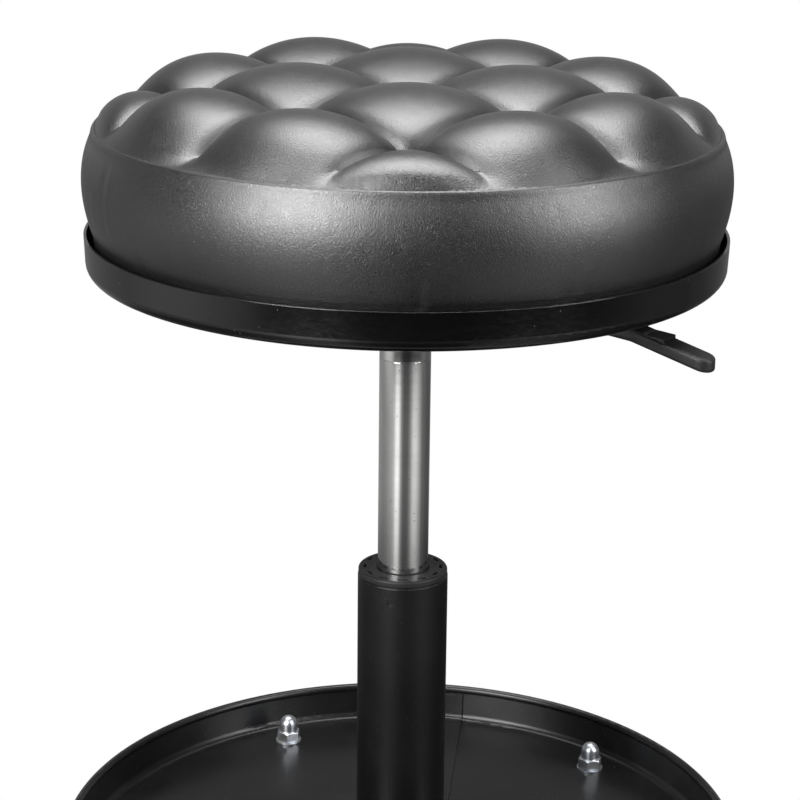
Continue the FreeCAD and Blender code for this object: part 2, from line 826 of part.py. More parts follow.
def build_tray():
    right = joined("Common", "tray_right_cut", (
        rimmed_pan("right"), half_plane("right_side", "tray_lap_gap - tray_lap_half_width", "tray_radius")))
    joined("Cut", "tray_right", (right, stem_drills("right", RIGHT_CASTERS)))

    left = joined("Common", "tray_left_cut", (
        rimmed_pan("left"), half_plane("left_side", "-tray_radius", "-tray_lap_half_width")))
    lap_pan = turned("tray_lap_pan", (
        ("tray_hole_radius", "tray_floor"),
        ("tray_floor_radius", "tray_floor", "tray_corner_radius"),
        (tray_wall("tray_lap_top"), "tray_lap_top"),
        (tray_wall("tray_lap_top") + " - tray_sheet", "tray_lap_top"),
        ("tray_floor_radius - tray_sheet", "tray_floor + tray_sheet", "tray_corner_radius - tray_sheet"),
        ("tray_hole_radius", "tray_floor + tray_sheet"),
    ))
    strip = half_plane("lap_strip", "-tray_lap_reach", "tray_lap_half_width")
    lap = joined("Common", "tray_lap", (lap_pan, strip))
    stepped = joined("Fuse", "tray_left_stepped", (left, lap))
    joined("Cut", "tray_left", (stepped, stem_drills("left", LEFT_CASTERS)))


def lap_step(number):
    """How much higher the lap makes the tray at a caster."""
    return "tray_sheet" if number == LAPPED_CASTER else "0"


def build_dome_nuts():
    nuts = []
    for number in CASTERS:
        body = new_body(f"dome_nut_{number}")
        seat = f"(washer_seat + washer_thickness + {lap_step(number)})"
        pad_up(body, hexagon("nut_flats"), "nut_hex_height", seat)
        corner = "nut_flats / 2 / cos(30)"
        turn(body, (
            ("nut_flats / 2", f"{seat} + nut_hex_height"),
            (corner, f"{seat} + nut_hex_height - nut_chamfer"),
            (corner, f"{seat} + nut_hex_height"),
        ), "Groove")
        turn(body, (
            ("0", f"{seat} + nut_hex_height"),
            ("nut_dome_radius", f"{seat} + nut_hex_height"),
            ("nut_dome_radius", f"{seat} + nut_height", "nut_dome_radius - running_gap"),
            ("0", f"{seat} + nut_height"),
        ))
        cut_up(body, circles(("0", "0", "stem_radius")),
                "stem_thread_above_tray - washer_thickness", seat)
        nuts.append(at_caster(body, number))
    joined("Compound", "dome_nuts", nuts)


def build_tray_washers():
    washers = []
    for number in CASTERS:
        low = f"(washer_seat + {lap_step(number)})"
        washer = turned(f"tray_washer_{number}", (
            ("stem_hole_radius", low),
            ("washer_radius", low),
            ("washer_radius", f"{low} + washer_thickness"),
            ("stem_hole_radius", f"{low} + washer_thickness"),
        ))
        washers.append(at_caster(washer, number))
    joined("Compound", "tray_washers", washers)


# Column, guide bushing and thrust bearing.

def build_column():
    body = turned("column_tube", (
        ("column_foot_radius - column_wall", "column_bottom"),
        ("column_foot_radius", "column_bottom"),
        ("column_radius", "column_bottom + column_foot_length"),
        ("column_radius", "column_top - column_lip"),
        ("column_radius - column_lip", "column_top"),
        ("column_bore", "column_top"),
        ("column_bore", "column_bottom + column_foot_length"),
    ))
    mark = circles(("0", "column_top - column_stake_drop", "column_stake_radius"))
    stake = extrude(body, "Pocket", "YZ_Plane", mark, "column_stake_depth", "column_radius")
    ring_copies(body, stake, "column_stake_count")
    place(body, angle="column_stake_angle")

    turned("column_base", (
        ("rod_foot_radius + running_gap", "cap_bottom"),
        (foot_radius("cap_bottom") + " - column_wall", "cap_bottom"),
        (foot_radius("cap_top") + " - column_wall", "cap_top"),
        ("rod_foot_radius + running_gap", "cap_top"),
    ))


def build_bushing():
    flange_top = "column_top + bushing_flange"
    bore = "chamber_radius + running_gap"
    body = turned("guide_bushing", (
        (bore, "column_top - bushing_length"),
        ("column_bore", "column_top - bushing_length"),
        ("column_bore", "column_top"),
        ("column_radius - bushing_flange_inset", "column_top"),
        ("column_radius - bushing_flange_inset", flange_top, "bushing_mouth"),
        (bore + " + bushing_mouth", flange_top),
        (bore, flange_top + " - bushing_mouth"),
    ))
    slot = outline(
        ("bushing_slot_radius - bushing_slot_width / 2", "-bushing_slot_length / 2"),
        ("bushing_slot_radius + bushing_slot_width / 2", "-bushing_slot_length / 2"),
        ("bushing_slot_radius + bushing_slot_width / 2", "bushing_slot_length / 2"),
        ("bushing_slot_radius - bushing_slot_width / 2", "bushing_slot_length / 2"),
    )
    cut = cut_down(body, slot, "bushing_slot_depth", flange_top)
    ring_copies(body, cut, "bushing_slot_count")


def washer_outline(inner, outer, low, high):
    """The section of a flat ring."""
    return ((inner, low), (outer, low), (outer, high), (inner, high))


def build_bearing():
    bore = "rod_foot_radius + running_gap"
    rim = "bearing_radius"
    turned("lower_race", washer_outline(bore, rim, "cap_top", "lower_race_top"))
    turned("upper_race", washer_outline("rod_foot_radius", rim, "upper_race_bottom", "upper_race_top"))
    turned("bump_stop", (
        ("rod_radius", "upper_race_top"),
        ("stop_radius", "upper_race_top"),
        ("stop_radius", "stop_top", "stop_height / 4"),
        ("rod_radius", "stop_top"),
    ))
    balls = []
    for number in range(round(number_of("ball_count"))):
        ball = doc.addObject("Part::Sphere", f"ball_{number + 1}")
        angle = f"{number} * {FULL_TURN} / ball_count"
        bind(ball, "Radius", "ball_radius")
        bind(ball, "Placement.Base.x", f"ball_circle_radius * cos({angle})")
        bind(ball, "Placement.Base.y", f"ball_circle_radius * sin({angle})")
        bind(ball, "Placement.Base.z", "lower_race_top + ball_gap + ball_radius")
        balls.append(ball)
    joined("Compound", "bearing_balls", balls)


# Gas lift. The rod turns on the bearing, and the chamber slides along rod and bushing.

def cone_radius(height):
    """Outer radius of the chamber's tapered top at a height."""
    return f"chamber_radius - cone_slope * ({height} - cone_start)"


def build_rod():
    clip_top = "cap_bottom - running_gap"
    clip_bottom = f"{clip_top} - clip_thickness"
    groove = "rod_foot_radius - clip_groove_depth"
    turned("piston_rod", (
        ("0", f"{clip_bottom} - rod_end_length"),
        ("rod_foot_radius", f"{clip_bottom} - rod_end_length"),
        ("rod_foot_radius", clip_bottom),
        (groove, clip_bottom),
        (groove, clip_top),
        ("rod_foot_radius", clip_top),
        ("rod_foot_radius", "upper_race_top"),
        ("rod_radius", "upper_race_top"),
        ("rod_radius", "piston_bottom"),
        ("rod_foot_radius", "piston_bottom"),
        ("rod_foot_radius", "piston_top"),
        ("0", "piston_top"),
    ))
    turned("rod_clip", washer_outline(groove, "clip_radius", clip_bottom, clip_top))
    face = "pressure_tube_bore - running_gap"
    middle = "(piston_bottom + piston_top) / 2"
    turned("piston", (
        ("rod_foot_radius", "piston_bottom"),
        (face, "piston_bottom"),
        (face, f"{middle} - piston_groove"),
        (f"{face} - piston_groove", f"{middle} - piston_groove"),
        (f"{face} - piston_groove", f"{middle} + piston_groove"),
        (face, f"{middle} + piston_groove"),
        (face, "piston_top"),
        ("rod_foot_radius", "piston_top"),
    ))


def build_chamber():
    turned("gas_chamber", (
        ("chamber_bore", "chamber_bottom"),
        ("chamber_radius", "chamber_bottom"),
        ("chamber_radius", "cone_start - chamber_ring_width"),
        ("chamber_radius - chamber_ring_depth", "cone_start - chamber_ring_width"),
        ("chamber_radius - chamber_ring_depth", "cone_start"),
        ("chamber_radius", "cone_start"),
        ("cone_top_radius", "chamber_top"),
        ("cone_top_radius - chamber_wall", "chamber_top"),
        ("chamber_bore", "cone_start"),
    ))
    tube = washer_outline("pressure_tube_bore", "pressure_tube_radius", "gland_top", "valve_bottom")
    turned("pressure_tube", tube)
    gland = washer_outline("rod_radius + running_gap", "chamber_bore", "chamber_bottom", "gland_top")
    turned("rod_gland", gland)
    turned("valve_body", (
        ("valve_pin_radius + running_gap", "valve_bottom"),
        (cone_radius("valve_bottom") + " - chamber_wall", "valve_bottom"),
        (cone_radius("chamber_top") + " - chamber_wall", "chamber_top"),
        ("valve_pin_radius + running_gap", "chamber_top"),
    ))
    turned("valve_button", (
        ("0", "chamber_top - valve_pin_depth"),
        ("valve_pin_radius", "chamber_top - valve_pin_depth"),
        ("valve_pin_radius", "valve_head_top - valve_head_height"),
        ("valve_head_radius", "valve_head_top - valve_head_height"),
        ("valve_head_radius", "valve_head_top", "valve_head_height / 3"),
        ("0", "valve_head_top"),
    ))


# Mechanism under the seat. Its pieces are drawn with the lever along +X and then turned.

def build_mechanism():
    turned("cone_socket", (
        (cone_radius("socket_bottom"), "socket_bottom"),
        ("socket_radius", "socket_bottom"),
        ("socket_radius", "socket_top"),
        (cone_radius("socket_top"), "socket_top"),
    ))
    hat = new_body("mechanism_housing")
    pad_up(hat, rectangle("flange_length / 2", "flange_width / 2", "flange_corner_radius"),
            "hat_sheet", "flange_bottom")
    pad_up(hat, rectangle("hat_length / 2", "hat_width / 2", "hat_corner_radius"),
            "hat_depth", "hat_bottom")
    low = number_of("hat_bottom")
    fillet_where(hat, lambda edge: level(edge, low), "hat_sheet")
    hollow = rectangle("hat_length / 2 - hat_sheet", "hat_width / 2 - hat_sheet",
                       "hat_corner_radius - hat_sheet")
    cut_up(hat, hollow, "hat_depth - hat_sheet", "hat_bottom + hat_sheet")
    cut_up(hat, circles(("0", "0", "socket_radius")), "hat_sheet", "hat_bottom")
    slot_half = "(lever_bar_width / 2 + lever_slot_side_gap)"
    slot_low = "lever_under - lever_slot_below"
    slot = outline((f"-{slot_half}", slot_low), (slot_half, slot_low),
                   (slot_half, "flange_bottom"), (f"-{slot_half}", "flange_bottom"))
    extrude(hat, "Pocket", "YZ_Plane", slot, "2 * hat_sheet", "hat_length / 2 + hat_sheet / 2")
    cut_across(hat, circles(("lever_pivot_offset", "lever_pivot_height", "lever_pin_radius")),
            "hat_width")
    cut_up(hat, circles(*bolt_spots("bolt_radius + bolt_hole_gap")), "hat_sheet", "flange_bottom")
    place(hat, angle="lever_angle")


def bolt_spots(radius):
    """The four seat bolts as circles on the mechanism's own axes."""
    long, short = "bolt_spacing_long / 2", "bolt_spacing_short / 2"
    return [(x, y, radius) for x in (long, f"-{long}") for y in (short, f"-{short}")]


def build_lever():
    width = "lever_bar_width"
    fall = "lever_droop / (lever_reach - lever_straight)"
    arm = new_body("lever_arm")
    bar = outline(("-lever_tail", "lever_under"), ("lever_straight", "lever_under"),
                  ("lever_reach", "lever_under - lever_droop"), ("lever_reach", "lever_over - lever_droop"),
                  ("lever_straight", "lever_over"), ("-lever_tail", "lever_over"))
    pad_across(arm, bar, width)
    eye = ("lever_pivot_offset", "lever_pivot_height")
    pad_across(arm, circles((*eye, "lever_eye_radius")), width)
    cut_across(arm, circles((*eye, "lever_pin_radius + running_gap")), width)
    place(arm, angle="lever_angle")

    pin = new_body("lever_pin")
    pad_across(pin, circles((*eye, "lever_pin_radius")), "hat_width")
    for offset in ("hat_width / 2", "-(hat_width / 2 + lever_pin_end)"):
        extrude(pin, "Pad", "XZ_Plane", circles((*eye, "lever_pin_head_radius")), "lever_pin_end", offset)
    place(pin, angle="lever_angle")

    def bar_middle(x):
        return f"(lever_under + lever_bar_thickness / 2 - {fall} * ({x} - lever_straight))"
    side_form = new_body("grip_side")
    neck, half = "grip_neck_thickness / 2", "grip_thickness / 2"
    side = outline(
        ("grip_start", f"{bar_middle('grip_start')} - {neck}"),
        ("grip_bend", f"{bar_middle('grip_bend')} - {half}", "grip_width"),
        ("grip_end", f"{bar_middle('grip_bend')} - {half} - grip_drop"),
        ("grip_end", f"{bar_middle('grip_bend')} + {half} - grip_drop"),
        ("grip_bend", f"{bar_middle('grip_bend')} + {half}", "grip_width"),
        ("grip_start", f"{bar_middle('grip_start')} + {neck}"),
    )
    pad_across(side_form, side, "2 * grip_neck_width")
    plan_form = new_body("grip_plan")
    plan = outline(
        ("grip_start", "-grip_neck_width / 2"),
        ("grip_bend", "-grip_width / 2"),
        ("grip_end", "-grip_width / 2", "grip_width / 2 - running_gap"),
        ("grip_end", "grip_width / 2", "grip_width / 2 - running_gap"),
        ("grip_bend", "grip_width / 2"),
        ("grip_start", "grip_neck_width / 2"),
    )
    pad_up(plan_form, plan, "hat_depth", "hat_bottom")
    whole = joined("Common", "grip_whole", (side_form, plan_form))
    rounded = doc.addObject("Part::Fillet", "grip_rounded")
    rounded.Base = whole
    start = number_of("grip_start")
    reach = number_of("grip_edge_radius")
    rounded.Edges = [(i + 1, reach, reach) for i, edge in enumerate(whole.Shape.Edges)
                     if edge.BoundBox.XMin > start + reach and not runs_across(edge)]
    doc.recompute()
    place(rounded, angle="lever_angle")
    joined("Cut", "lever_grip", (rounded, arm))


def runs_across(edge):
    """Whether an edge runs straight along Y or Z."""
    box = edge.BoundBox
    tolerance = number_of("running_gap")
    return box.XLength < tolerance


# Seat: pan, board, bolts and the quilted cushion.

def build_pan():
    foot = "pan_radius - pan_lip"
    pan = turned("seat_pan", (
        ("pan_hole_radius", "pan_bottom"),
        (foot, "pan_bottom", "pan_corner_radius + pan_sheet"),
        ("pan_radius", "pan_rim"),
        ("pan_radius - pan_sheet", "pan_rim"),
        (f"{foot} - pan_sheet", "pan_floor", "pan_corner_radius"),
        ("pan_hole_radius", "pan_floor"),
    ))
    cut_up(pan, circles(*bolt_spots("bolt_radius + bolt_hole_gap")), "pan_sheet", "pan_bottom")
    place(pan, angle="lever_angle")


def build_board():
    board = new_body("seat_board")
    pad_up(board, circles(("0", "0", "board_radius")), "board_thickness", "board_bottom")
    cut_up(board, circles(*bolt_spots("tee_barrel_radius")), "board_thickness", "board_bottom")
    cut_down(board, circles(*bolt_spots("tee_flange_radius")), "tee_flange_thickness", "board_top")
    place(board, angle="lever_angle")

    nuts = new_body("tee_nuts")
    nuts.AllowCompound = True
    pad_up(nuts, circles(*bolt_spots("tee_barrel_radius")), "tee_barrel_length",
            "board_top - tee_barrel_length")
    pad_up(nuts, circles(*bolt_spots("tee_flange_radius")), "tee_flange_thickness",
            "board_top - tee_flange_thickness")
    cut_up(nuts, circles(*bolt_spots("bolt_radius")), "tee_barrel_length",
            "board_top - tee_barrel_length")
    place(nuts, angle="lever_angle")

    bolts = new_body("seat_bolts")
    bolts.AllowCompound = True
    under = "(flange_bottom - bolt_washer_thickness)"
    pad_up(bolts, circles(*bolt_spots("bolt_radius")), f"board_top - {under}", under)
    pad_up(bolts, circles(*bolt_spots("bolt_washer_radius")), "bolt_washer_thickness", under)
    pad_up(bolts, circles(*bolt_spots("bolt_head_flats / 2")), "bolt_head_height",
            f"{under} - bolt_head_height")
    place(bolts, angle="lever_angle")


def dome(column, row):
    """One quilted dome of the cover: a ball whose top lies on the crown."""
    ball = doc.addObject("Part::Sphere", "cover_dome")
    x = f"{column} * tuft_pitch_across"
    y = f"(tuft_first_deep + {row} * tuft_pitch_deep)"
    outwards = f"({x} * {x} + {y} * {y}) / (cushion_seam_radius * cushion_seam_radius)"
    top = f"pan_rim + tuft_top_height - tuft_top_drop * {outwards}"
    bind(ball, "Radius", "tuft_dome_radius")
    bind(ball, "Placement.Base.x", x)
    bind(ball, "Placement.Base.y", y)
    bind(ball, "Placement.Base.z", f"{top} - tuft_dome_radius")
    return ball


def build_cushion():
    """The cover: a turned envelope, quilted by a diamond lattice of domes, hollow for the foam."""
    envelope = turned("cover_envelope", (
        ("0", "pan_floor"),
        ("cushion_foot_radius", "pan_floor", "cushion_foot_fillet"),
        ("cushion_foot_radius", "pan_rim"),
        ("cushion_waist_radius", "waist_level", "cushion_side_radius"),
        ("cushion_seam_radius", "seam_level"),
        ("cushion_shoulder_radius", "pan_rim + cushion_shoulder_height", "cushion_crown_radius"),
        ("0", "pan_rim + cushion_crown_height"),
    ))
    quilt = joined("MultiFuse", "cover_quilt", [dome(column, row) for column, row in DOMES])
    quilted = joined("Common", "cover_quilted", (envelope, quilt))
    cavity = turned("cover_cavity", (
        ("0", "pan_bottom"),
        ("board_radius - cover_turn_in", "pan_bottom"),
        ("board_radius - cover_turn_in", "board_bottom"),
        ("board_radius", "board_bottom"),
        ("board_radius", "board_top"),
        ("foam_radius", "board_top"),
        ("foam_radius", "foam_top", "foam_edge_radius"),
        ("0", "foam_top"),
    ))
    joined("Cut", "seat_cover", (quilted, cavity))
    turned("seat_foam", (
        ("0", "board_top"),
        ("foam_radius", "board_top"),
        ("foam_radius", "foam_top", "foam_edge_radius"),
        ("0", "foam_top"),
    ))


CASTERS = (1, 2, 3, 4, 5)
RIGHT_CASTERS = (1, 4, 5)
LEFT_CASTERS = (2, 3, 4)
LAPPED_CASTER = 4

# Columns and rows of the quilting, counted in half diagonals of its diamonds.
DOMES = ((0, 0), (-2, 0), (2, 0), (-1, 1), (1, 1), (-3, 1), (3, 1), (0, 2), (-2, 2), (2, 2),
         (-1, 3), (1, 3), (-1, -1), (1, -1), (0, -2))

NODES = ["seat_cover", "seat_foam", "seat_board", "tee_nuts", "seat_bolts", "seat_pan",
         "mechanism_housing", "cone_socket", "lever_arm", "lever_pin", "lever_grip",
         "gas_chamber", "pressure_tube", "valve_body", "valve_button", "rod_gland",
         "piston", "piston_rod", "rod_clip", "bump_stop", "upper_race", "bearing_balls", "lower_race",
         "column_base", "column_tube", "guide_bushing", "hub_socket",
         "tray_left", "tray_right", "dome_nuts", "tray_washers", "caster_stems"]
NODES += [f"{piece}_{number}" for piece in ("arm", "fork", "wheel", "tyre", "axle") for number in CASTERS]


def build():
    fill_sheet()
    build_hub()
    for number in CASTERS:
        build_arm(number)
        build_fork(number)
        build_wheel(number)
        build_axle(number)
    build_stems()
    build_tray()
    build_dome_nuts()
    build_tray_washers()
    build_column()
    build_bushing()
    build_bearing()
    build_rod()
    build_chamber()
    build_mechanism()
    build_lever()
    build_pan()
    build_board()
    build_cushion()
    doc.recompute()


def check():
    """Stop if any object failed, or a node's shape is missing, broken or not solid."""
    failed = [item.Name for item in doc.Objects if "Invalid" in item.State or "Error" in item.State]
    for name in NODES:
        shape = doc.getObjectsByLabel(name)[0].Shape
        if shape.isNull() or not shape.isValid() or not shape.Solids:
            failed.append(name)
    if failed:
        raise RuntimeError(f"failed: {failed}")


def write():
    """Write each node to its own file and print its volume."""
    os.makedirs("parts", exist_ok=True)
    for name in NODES:
        shape = doc.getObjectsByLabel(name)[0].Shape
        shape.exportStep(f"parts/{name}.step")
        print(f"{name}: {len(shape.Solids)} solids, {shape.Volume:.0f} cubic mm")


build()
check()
write()
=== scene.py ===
"""Looks of the creeper seat: its finishes, the quilted cushion, the domed nuts and the studio."""

import logging
import math
from dataclasses import dataclass
from enum import Enum

import bmesh
import bpy
import numpy as np
from bmesh.types import BMesh, BMVert
from bpy.types import ID, Material, NodeSocket, NodeTree, Object
from mathutils import Matrix, Vector


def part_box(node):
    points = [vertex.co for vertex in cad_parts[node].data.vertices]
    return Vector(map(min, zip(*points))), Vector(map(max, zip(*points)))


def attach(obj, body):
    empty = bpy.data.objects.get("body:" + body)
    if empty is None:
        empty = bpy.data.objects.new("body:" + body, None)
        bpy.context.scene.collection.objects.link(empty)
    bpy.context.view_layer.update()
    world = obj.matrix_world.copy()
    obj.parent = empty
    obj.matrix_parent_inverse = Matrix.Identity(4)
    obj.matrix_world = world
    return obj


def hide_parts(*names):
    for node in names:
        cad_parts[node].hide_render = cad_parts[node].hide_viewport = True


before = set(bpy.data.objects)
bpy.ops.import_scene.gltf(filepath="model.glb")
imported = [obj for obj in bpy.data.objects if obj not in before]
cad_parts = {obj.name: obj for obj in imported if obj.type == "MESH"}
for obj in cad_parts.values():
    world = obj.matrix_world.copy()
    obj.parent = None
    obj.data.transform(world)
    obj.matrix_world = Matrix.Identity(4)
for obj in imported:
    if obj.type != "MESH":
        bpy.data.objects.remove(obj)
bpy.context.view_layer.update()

LOG = logging.getLogger("creeper_seat")
MM = 0.001
WHITE = (1.0, 1.0, 1.0)
Colour = tuple[float, float, float]
Span = tuple[float, float]
Value = "Signal | float"
Loop = list[BMVert]


# Node graphs: shader maths and geometry trees are written as Python expressions.


class Signal:
    """A node's output socket that Python's operators work on."""

    def __init__(self, graph: "Graph", socket: NodeSocket) -> None:
        """Wraps one output socket of a graph."""
        self.graph = graph
        self.socket = socket

    def __add__(self, other: Value) -> "Signal":
        """This value plus another."""
        return self.graph.maths("ADD", self, other)

    def __sub__(self, other: Value) -> "Signal":
        """This value less another."""
        return self.graph.maths("SUBTRACT", self, other)

    def __rsub__(self, other: float) -> "Signal":
        """A number less this value."""
        return self.graph.maths("SUBTRACT", other, self)

    def __mul__(self, other: Value) -> "Signal":
        """This value times another."""
        return self.graph.maths("MULTIPLY", self, other)

    def __truediv__(self, other: Value) -> "Signal":
        """This value over another."""
        return self.graph.maths("DIVIDE", self, other)

    def wave(self, length: float) -> "Signal":
        """A sine of this value, from 0 to 1, with a given wavelength."""
        return self.graph.maths("SINE", self * (math.tau / length), 0.0) * 0.5 + 0.5

    def rise(self, low: float, high: float) -> "Signal":
        """A smooth step of this value: 0 at low and 1 at high, which may lie below low."""
        if low > high:
            return 1.0 - self.rise(high, low)
        return self.graph.node("MapRange", {"interpolation_type": "SMOOTHSTEP"},
                               {"Value": self, "From Min": low, "From Max": high})


class Graph:
    """A node tree that is built from expressions."""

    def __init__(self, tree: NodeTree) -> None:
        """Takes the tree that the nodes go into."""
        self.tree = tree

    def maths(self, operation: str, first: Value, second: Value) -> Signal:
        """A Math node's result for two values."""
        return self.node("Math", {"operation": operation}, {0: first, 1: second})

    def node(self, kind: str, settings: dict | None = None, inputs: dict | None = None,
             output: int | str = 0) -> Signal:
        """Adds a node.

        Args:
            kind: The node's type. ShaderNode may be left out at its front.
            settings: Its settings, set before its sockets. The key stops holds a ramp's stops.
            inputs: Values or signals for its input sockets, by name or number.
            output: The output socket that is returned.

        Returns:
            The chosen output.
        """
        made = self.tree.nodes.new(kind if "Node" in kind else f"ShaderNode{kind}")
        for key, value in (settings or {}).items():
            if key == "stops":
                ramp = made.color_ramp.elements
                while len(ramp) < len(value):
                    ramp.new(1.0)
                for stop, (spot, shade) in zip(ramp, value):
                    stop.position, stop.color = spot, (*shade, 1.0)
            else:
                setattr(made, key, value)
        for key, value in (inputs or {}).items():
            if isinstance(value, Signal):
                self.tree.links.new(value.socket, made.inputs[key])
            elif isinstance(value, tuple) and len(value) == 3 and made.inputs[key].type == "RGBA":
                made.inputs[key].default_value = (*value, 1.0)
            else:
                made.inputs[key].default_value = value
        return Signal(self, made.outputs[output])


class Paint(Graph):
    """A material whose colour, roughness and relief come from patterns in object space."""

    def __init__(self, name: str, **constants: float | Colour) -> None:
        """Starts a material.

        Args:
            name: The material's name.
            constants: Shader sockets that are the same all over, with _ for a space.
        """
        self.material = bpy.data.materials.new(name)
        self.material.use_nodes = True
        super().__init__(self.material.node_tree)
        self.shader = self.tree.nodes["Principled BSDF"]
        for key, value in constants.items():
            words = key.replace("_", " ").title().replace("Ior", "IOR")
            self.shader.inputs[words].default_value = (*value, 1.0) if isinstance(value, tuple) else value
        self.place = self.node("TexCoord", output="Object")

    def axis(self, name: str) -> Signal:
        """One coordinate of the place on the piece, in metres."""
        return self.node("SeparateXYZ", None, {0: self.place}, name)

    def radius(self) -> Signal:
        """The distance from the column's axis, in metres."""
        flat = self.stretched(1.0, 1.0, 0.0)
        return self.node("VectorMath", {"operation": "LENGTH"}, {0: flat}, "Value")

    def stretched(self, x: float, y: float, z: float) -> Signal:
        """The place with each axis scaled by its own factor."""
        return self.node("VectorMath", {"operation": "MULTIPLY"}, {0: self.place, 1: (x, y, z)})

    def noise(self, size: float, detail: float = 3.0, harshness: float = 0.5,
              place: Signal | None = None) -> Signal:
        """Soft random patches.

        Args:
            size: The size of a patch in millimetres.
            detail: The number of finer layers.
            harshness: How strong the finer layers are.
            place: The coordinates that it follows. The object's own are the default.

        Returns:
            The pattern, about 0.5 on average.
        """
        return self.node("TexNoise", None, {"Vector": place or self.place, "Scale": 1 / (size * MM),
                                            "Detail": detail, "Roughness": harshness})

    def cells(self, size: float, feature: str = "F1", output: str = "Distance") -> Signal:
        """Random cells of a size in millimetres."""
        inputs = {"Vector": self.place, "Scale": 1 / (size * MM)}
        return self.node("TexVoronoi", {"feature": feature}, inputs, output)

    def specks(self, size: float, share: float) -> Signal:
        """A mask of small round specks, by their spacing in millimetres and the share of cells with one.

        Each speck fades out between 0.06 and 0.16 of its cell.
        """
        near = self.cells(size)
        pick = self.node("SeparateColor", None, {0: self.cells(size, output="Color")})
        return near.rise(0.16, 0.06) * pick.rise(1 - share, 1.001 - share)

    def blend(self, mask: Signal, first: Signal | Colour, second: Signal | Colour) -> Signal:
        """A colour that goes from the first to the second with the mask."""
        return self.node("Mix", {"data_type": "RGBA"}, {0: mask, 6: first, 7: second}, 2)

    def edge(self, radius: float) -> Signal:
        """A mask for wear on sharp edges, which it finds by rounding them, with its reach in millimetres.

        It starts where rounding turns the face by 10 degrees, and is 1 from 26 degrees on.
        """
        true_face = self.node("NewGeometry", output="True Normal")
        match = self.node("VectorMath", {"operation": "DOT_PRODUCT"},
                          {0: self.rounded(radius), 1: true_face}, "Value")
        return match.rise(0.985, 0.90)

    def rounded(self, radius: float) -> Signal:
        """The surface's normal with its sharp edges rounded off by a radius in millimetres."""
        return self.node("Bevel", {"samples": 4}, {"Radius": radius * MM})

    def relief(self, height: Signal, depth: float, under: Signal | None = None) -> Signal:
        """The normal of a relief: a height of 1 means depth millimetres, and it may lie on another normal."""
        inputs = {"Height": height, "Distance": depth * MM, "Strength": 1.0}
        if under is not None:
            inputs["Normal"] = under
        return self.node("Bump", None, inputs)

    def wear(self, colour: Signal, gloss: Signal, normal: Signal) -> Material:
        """Links the patterns to the shader and gives the material."""
        for key, value in (("Base Color", colour), ("Roughness", gloss), ("Normal", normal)):
            self.tree.links.new(value.socket, self.shader.inputs[key])
        return self.material


# Finishes.


# A pattern's first number is its size in millimetres, rise() takes the levels between which a mask
# fades in, and a factor is a pattern's share of the colour, the gloss or the relief.

YELLOWED_FOAM = (0.66, 0.56, 0.36)
STRAW_TINT = (0.62, 0.60, 0.50)
RUBBED_ZINC = (0.86, 0.87, 0.88)
THIN_ENAMEL = (0.12, 0.12, 0.12)
BARE_STEEL = (0.22, 0.21, 0.20)
PIT_STAIN = (0.16, 0.14, 0.12)
DUST_NIB = (0.24, 0.23, 0.22)
SETTLED_DUST = (0.30, 0.28, 0.26)
TROD_DUST = (0.16, 0.15, 0.14)
FLOOR_GRIT = (0.35, 0.33, 0.30)


@dataclass(frozen=True)
class Finish:
    """A finish of the stool: its colour and its gloss."""

    name: str
    colour: Colour
    roughness: float

    def material(self) -> Material:
        """The finish as a material, which is made once."""
        return bpy.data.materials.get(self.name) or self.made()

    def made(self) -> Material:
        """Builds the material."""
        raise NotImplementedError

    def shade(self, factor: float) -> Colour:
        """The colour made lighter or darker."""
        return tuple(min(1.0, part * factor) for part in self.colour)


@dataclass(frozen=True)
class Vinyl(Finish):
    """Satin upholstery vinyl with a pressed leather grain."""

    grain: float = 0.8

    def made(self) -> Material:
        """Pressed grain with painted shade in its valleys, fine crinkles and handled patches."""
        paint = Paint(self.name, ior=1.95)
        patches = paint.noise(38.0, 3.0)
        pebbles = paint.cells(self.grain, "SMOOTH_F1")
        valleys = paint.cells(self.grain * 1.4, "DISTANCE_TO_EDGE").rise(0.0, 0.16)
        fine = paint.noise(0.7, 2.0, 0.7)
        crinkle = paint.noise(5.5, 4.0, 0.6)
        skin = pebbles * -0.6 + valleys * 0.25 + fine * 0.5
        colour = paint.blend(patches.rise(0.3, 0.7), self.shade(0.85), self.shade(1.2))
        # Painted shade: the grain's valleys, the low cell edges of the relief, are darkened.
        colour = paint.blend(valleys.rise(1.0, 0.0) * 0.5, colour, self.shade(0.45))
        gloss = patches * 0.10 + fine * 0.50 + (self.roughness - 0.30)
        normal = paint.relief(crinkle, 0.10)
        return paint.wear(colour, gloss, paint.relief(skin, 0.12, normal))


@dataclass(frozen=True)
class Foam(Finish):
    """Open-celled seat foam."""

    def made(self) -> Material:
        """Pores of two sizes with painted shade in them, and yellowed patches."""
        paint = Paint(self.name, subsurface_weight=0.1, subsurface_scale=0.004)
        pores = paint.cells(0.9) * 0.7 + paint.cells(2.1) * 0.3
        patches = paint.noise(45.0)
        colour = paint.blend(patches.rise(0.35, 0.7), self.colour, YELLOWED_FOAM)
        # Painted shade: the pits of the pores are darkened.
        colour = paint.blend(pores.rise(0.45, 0.15), colour, self.shade(0.6))
        return paint.wear(colour, pores * 0.1 + (self.roughness - 0.05), paint.relief(pores, 0.4))


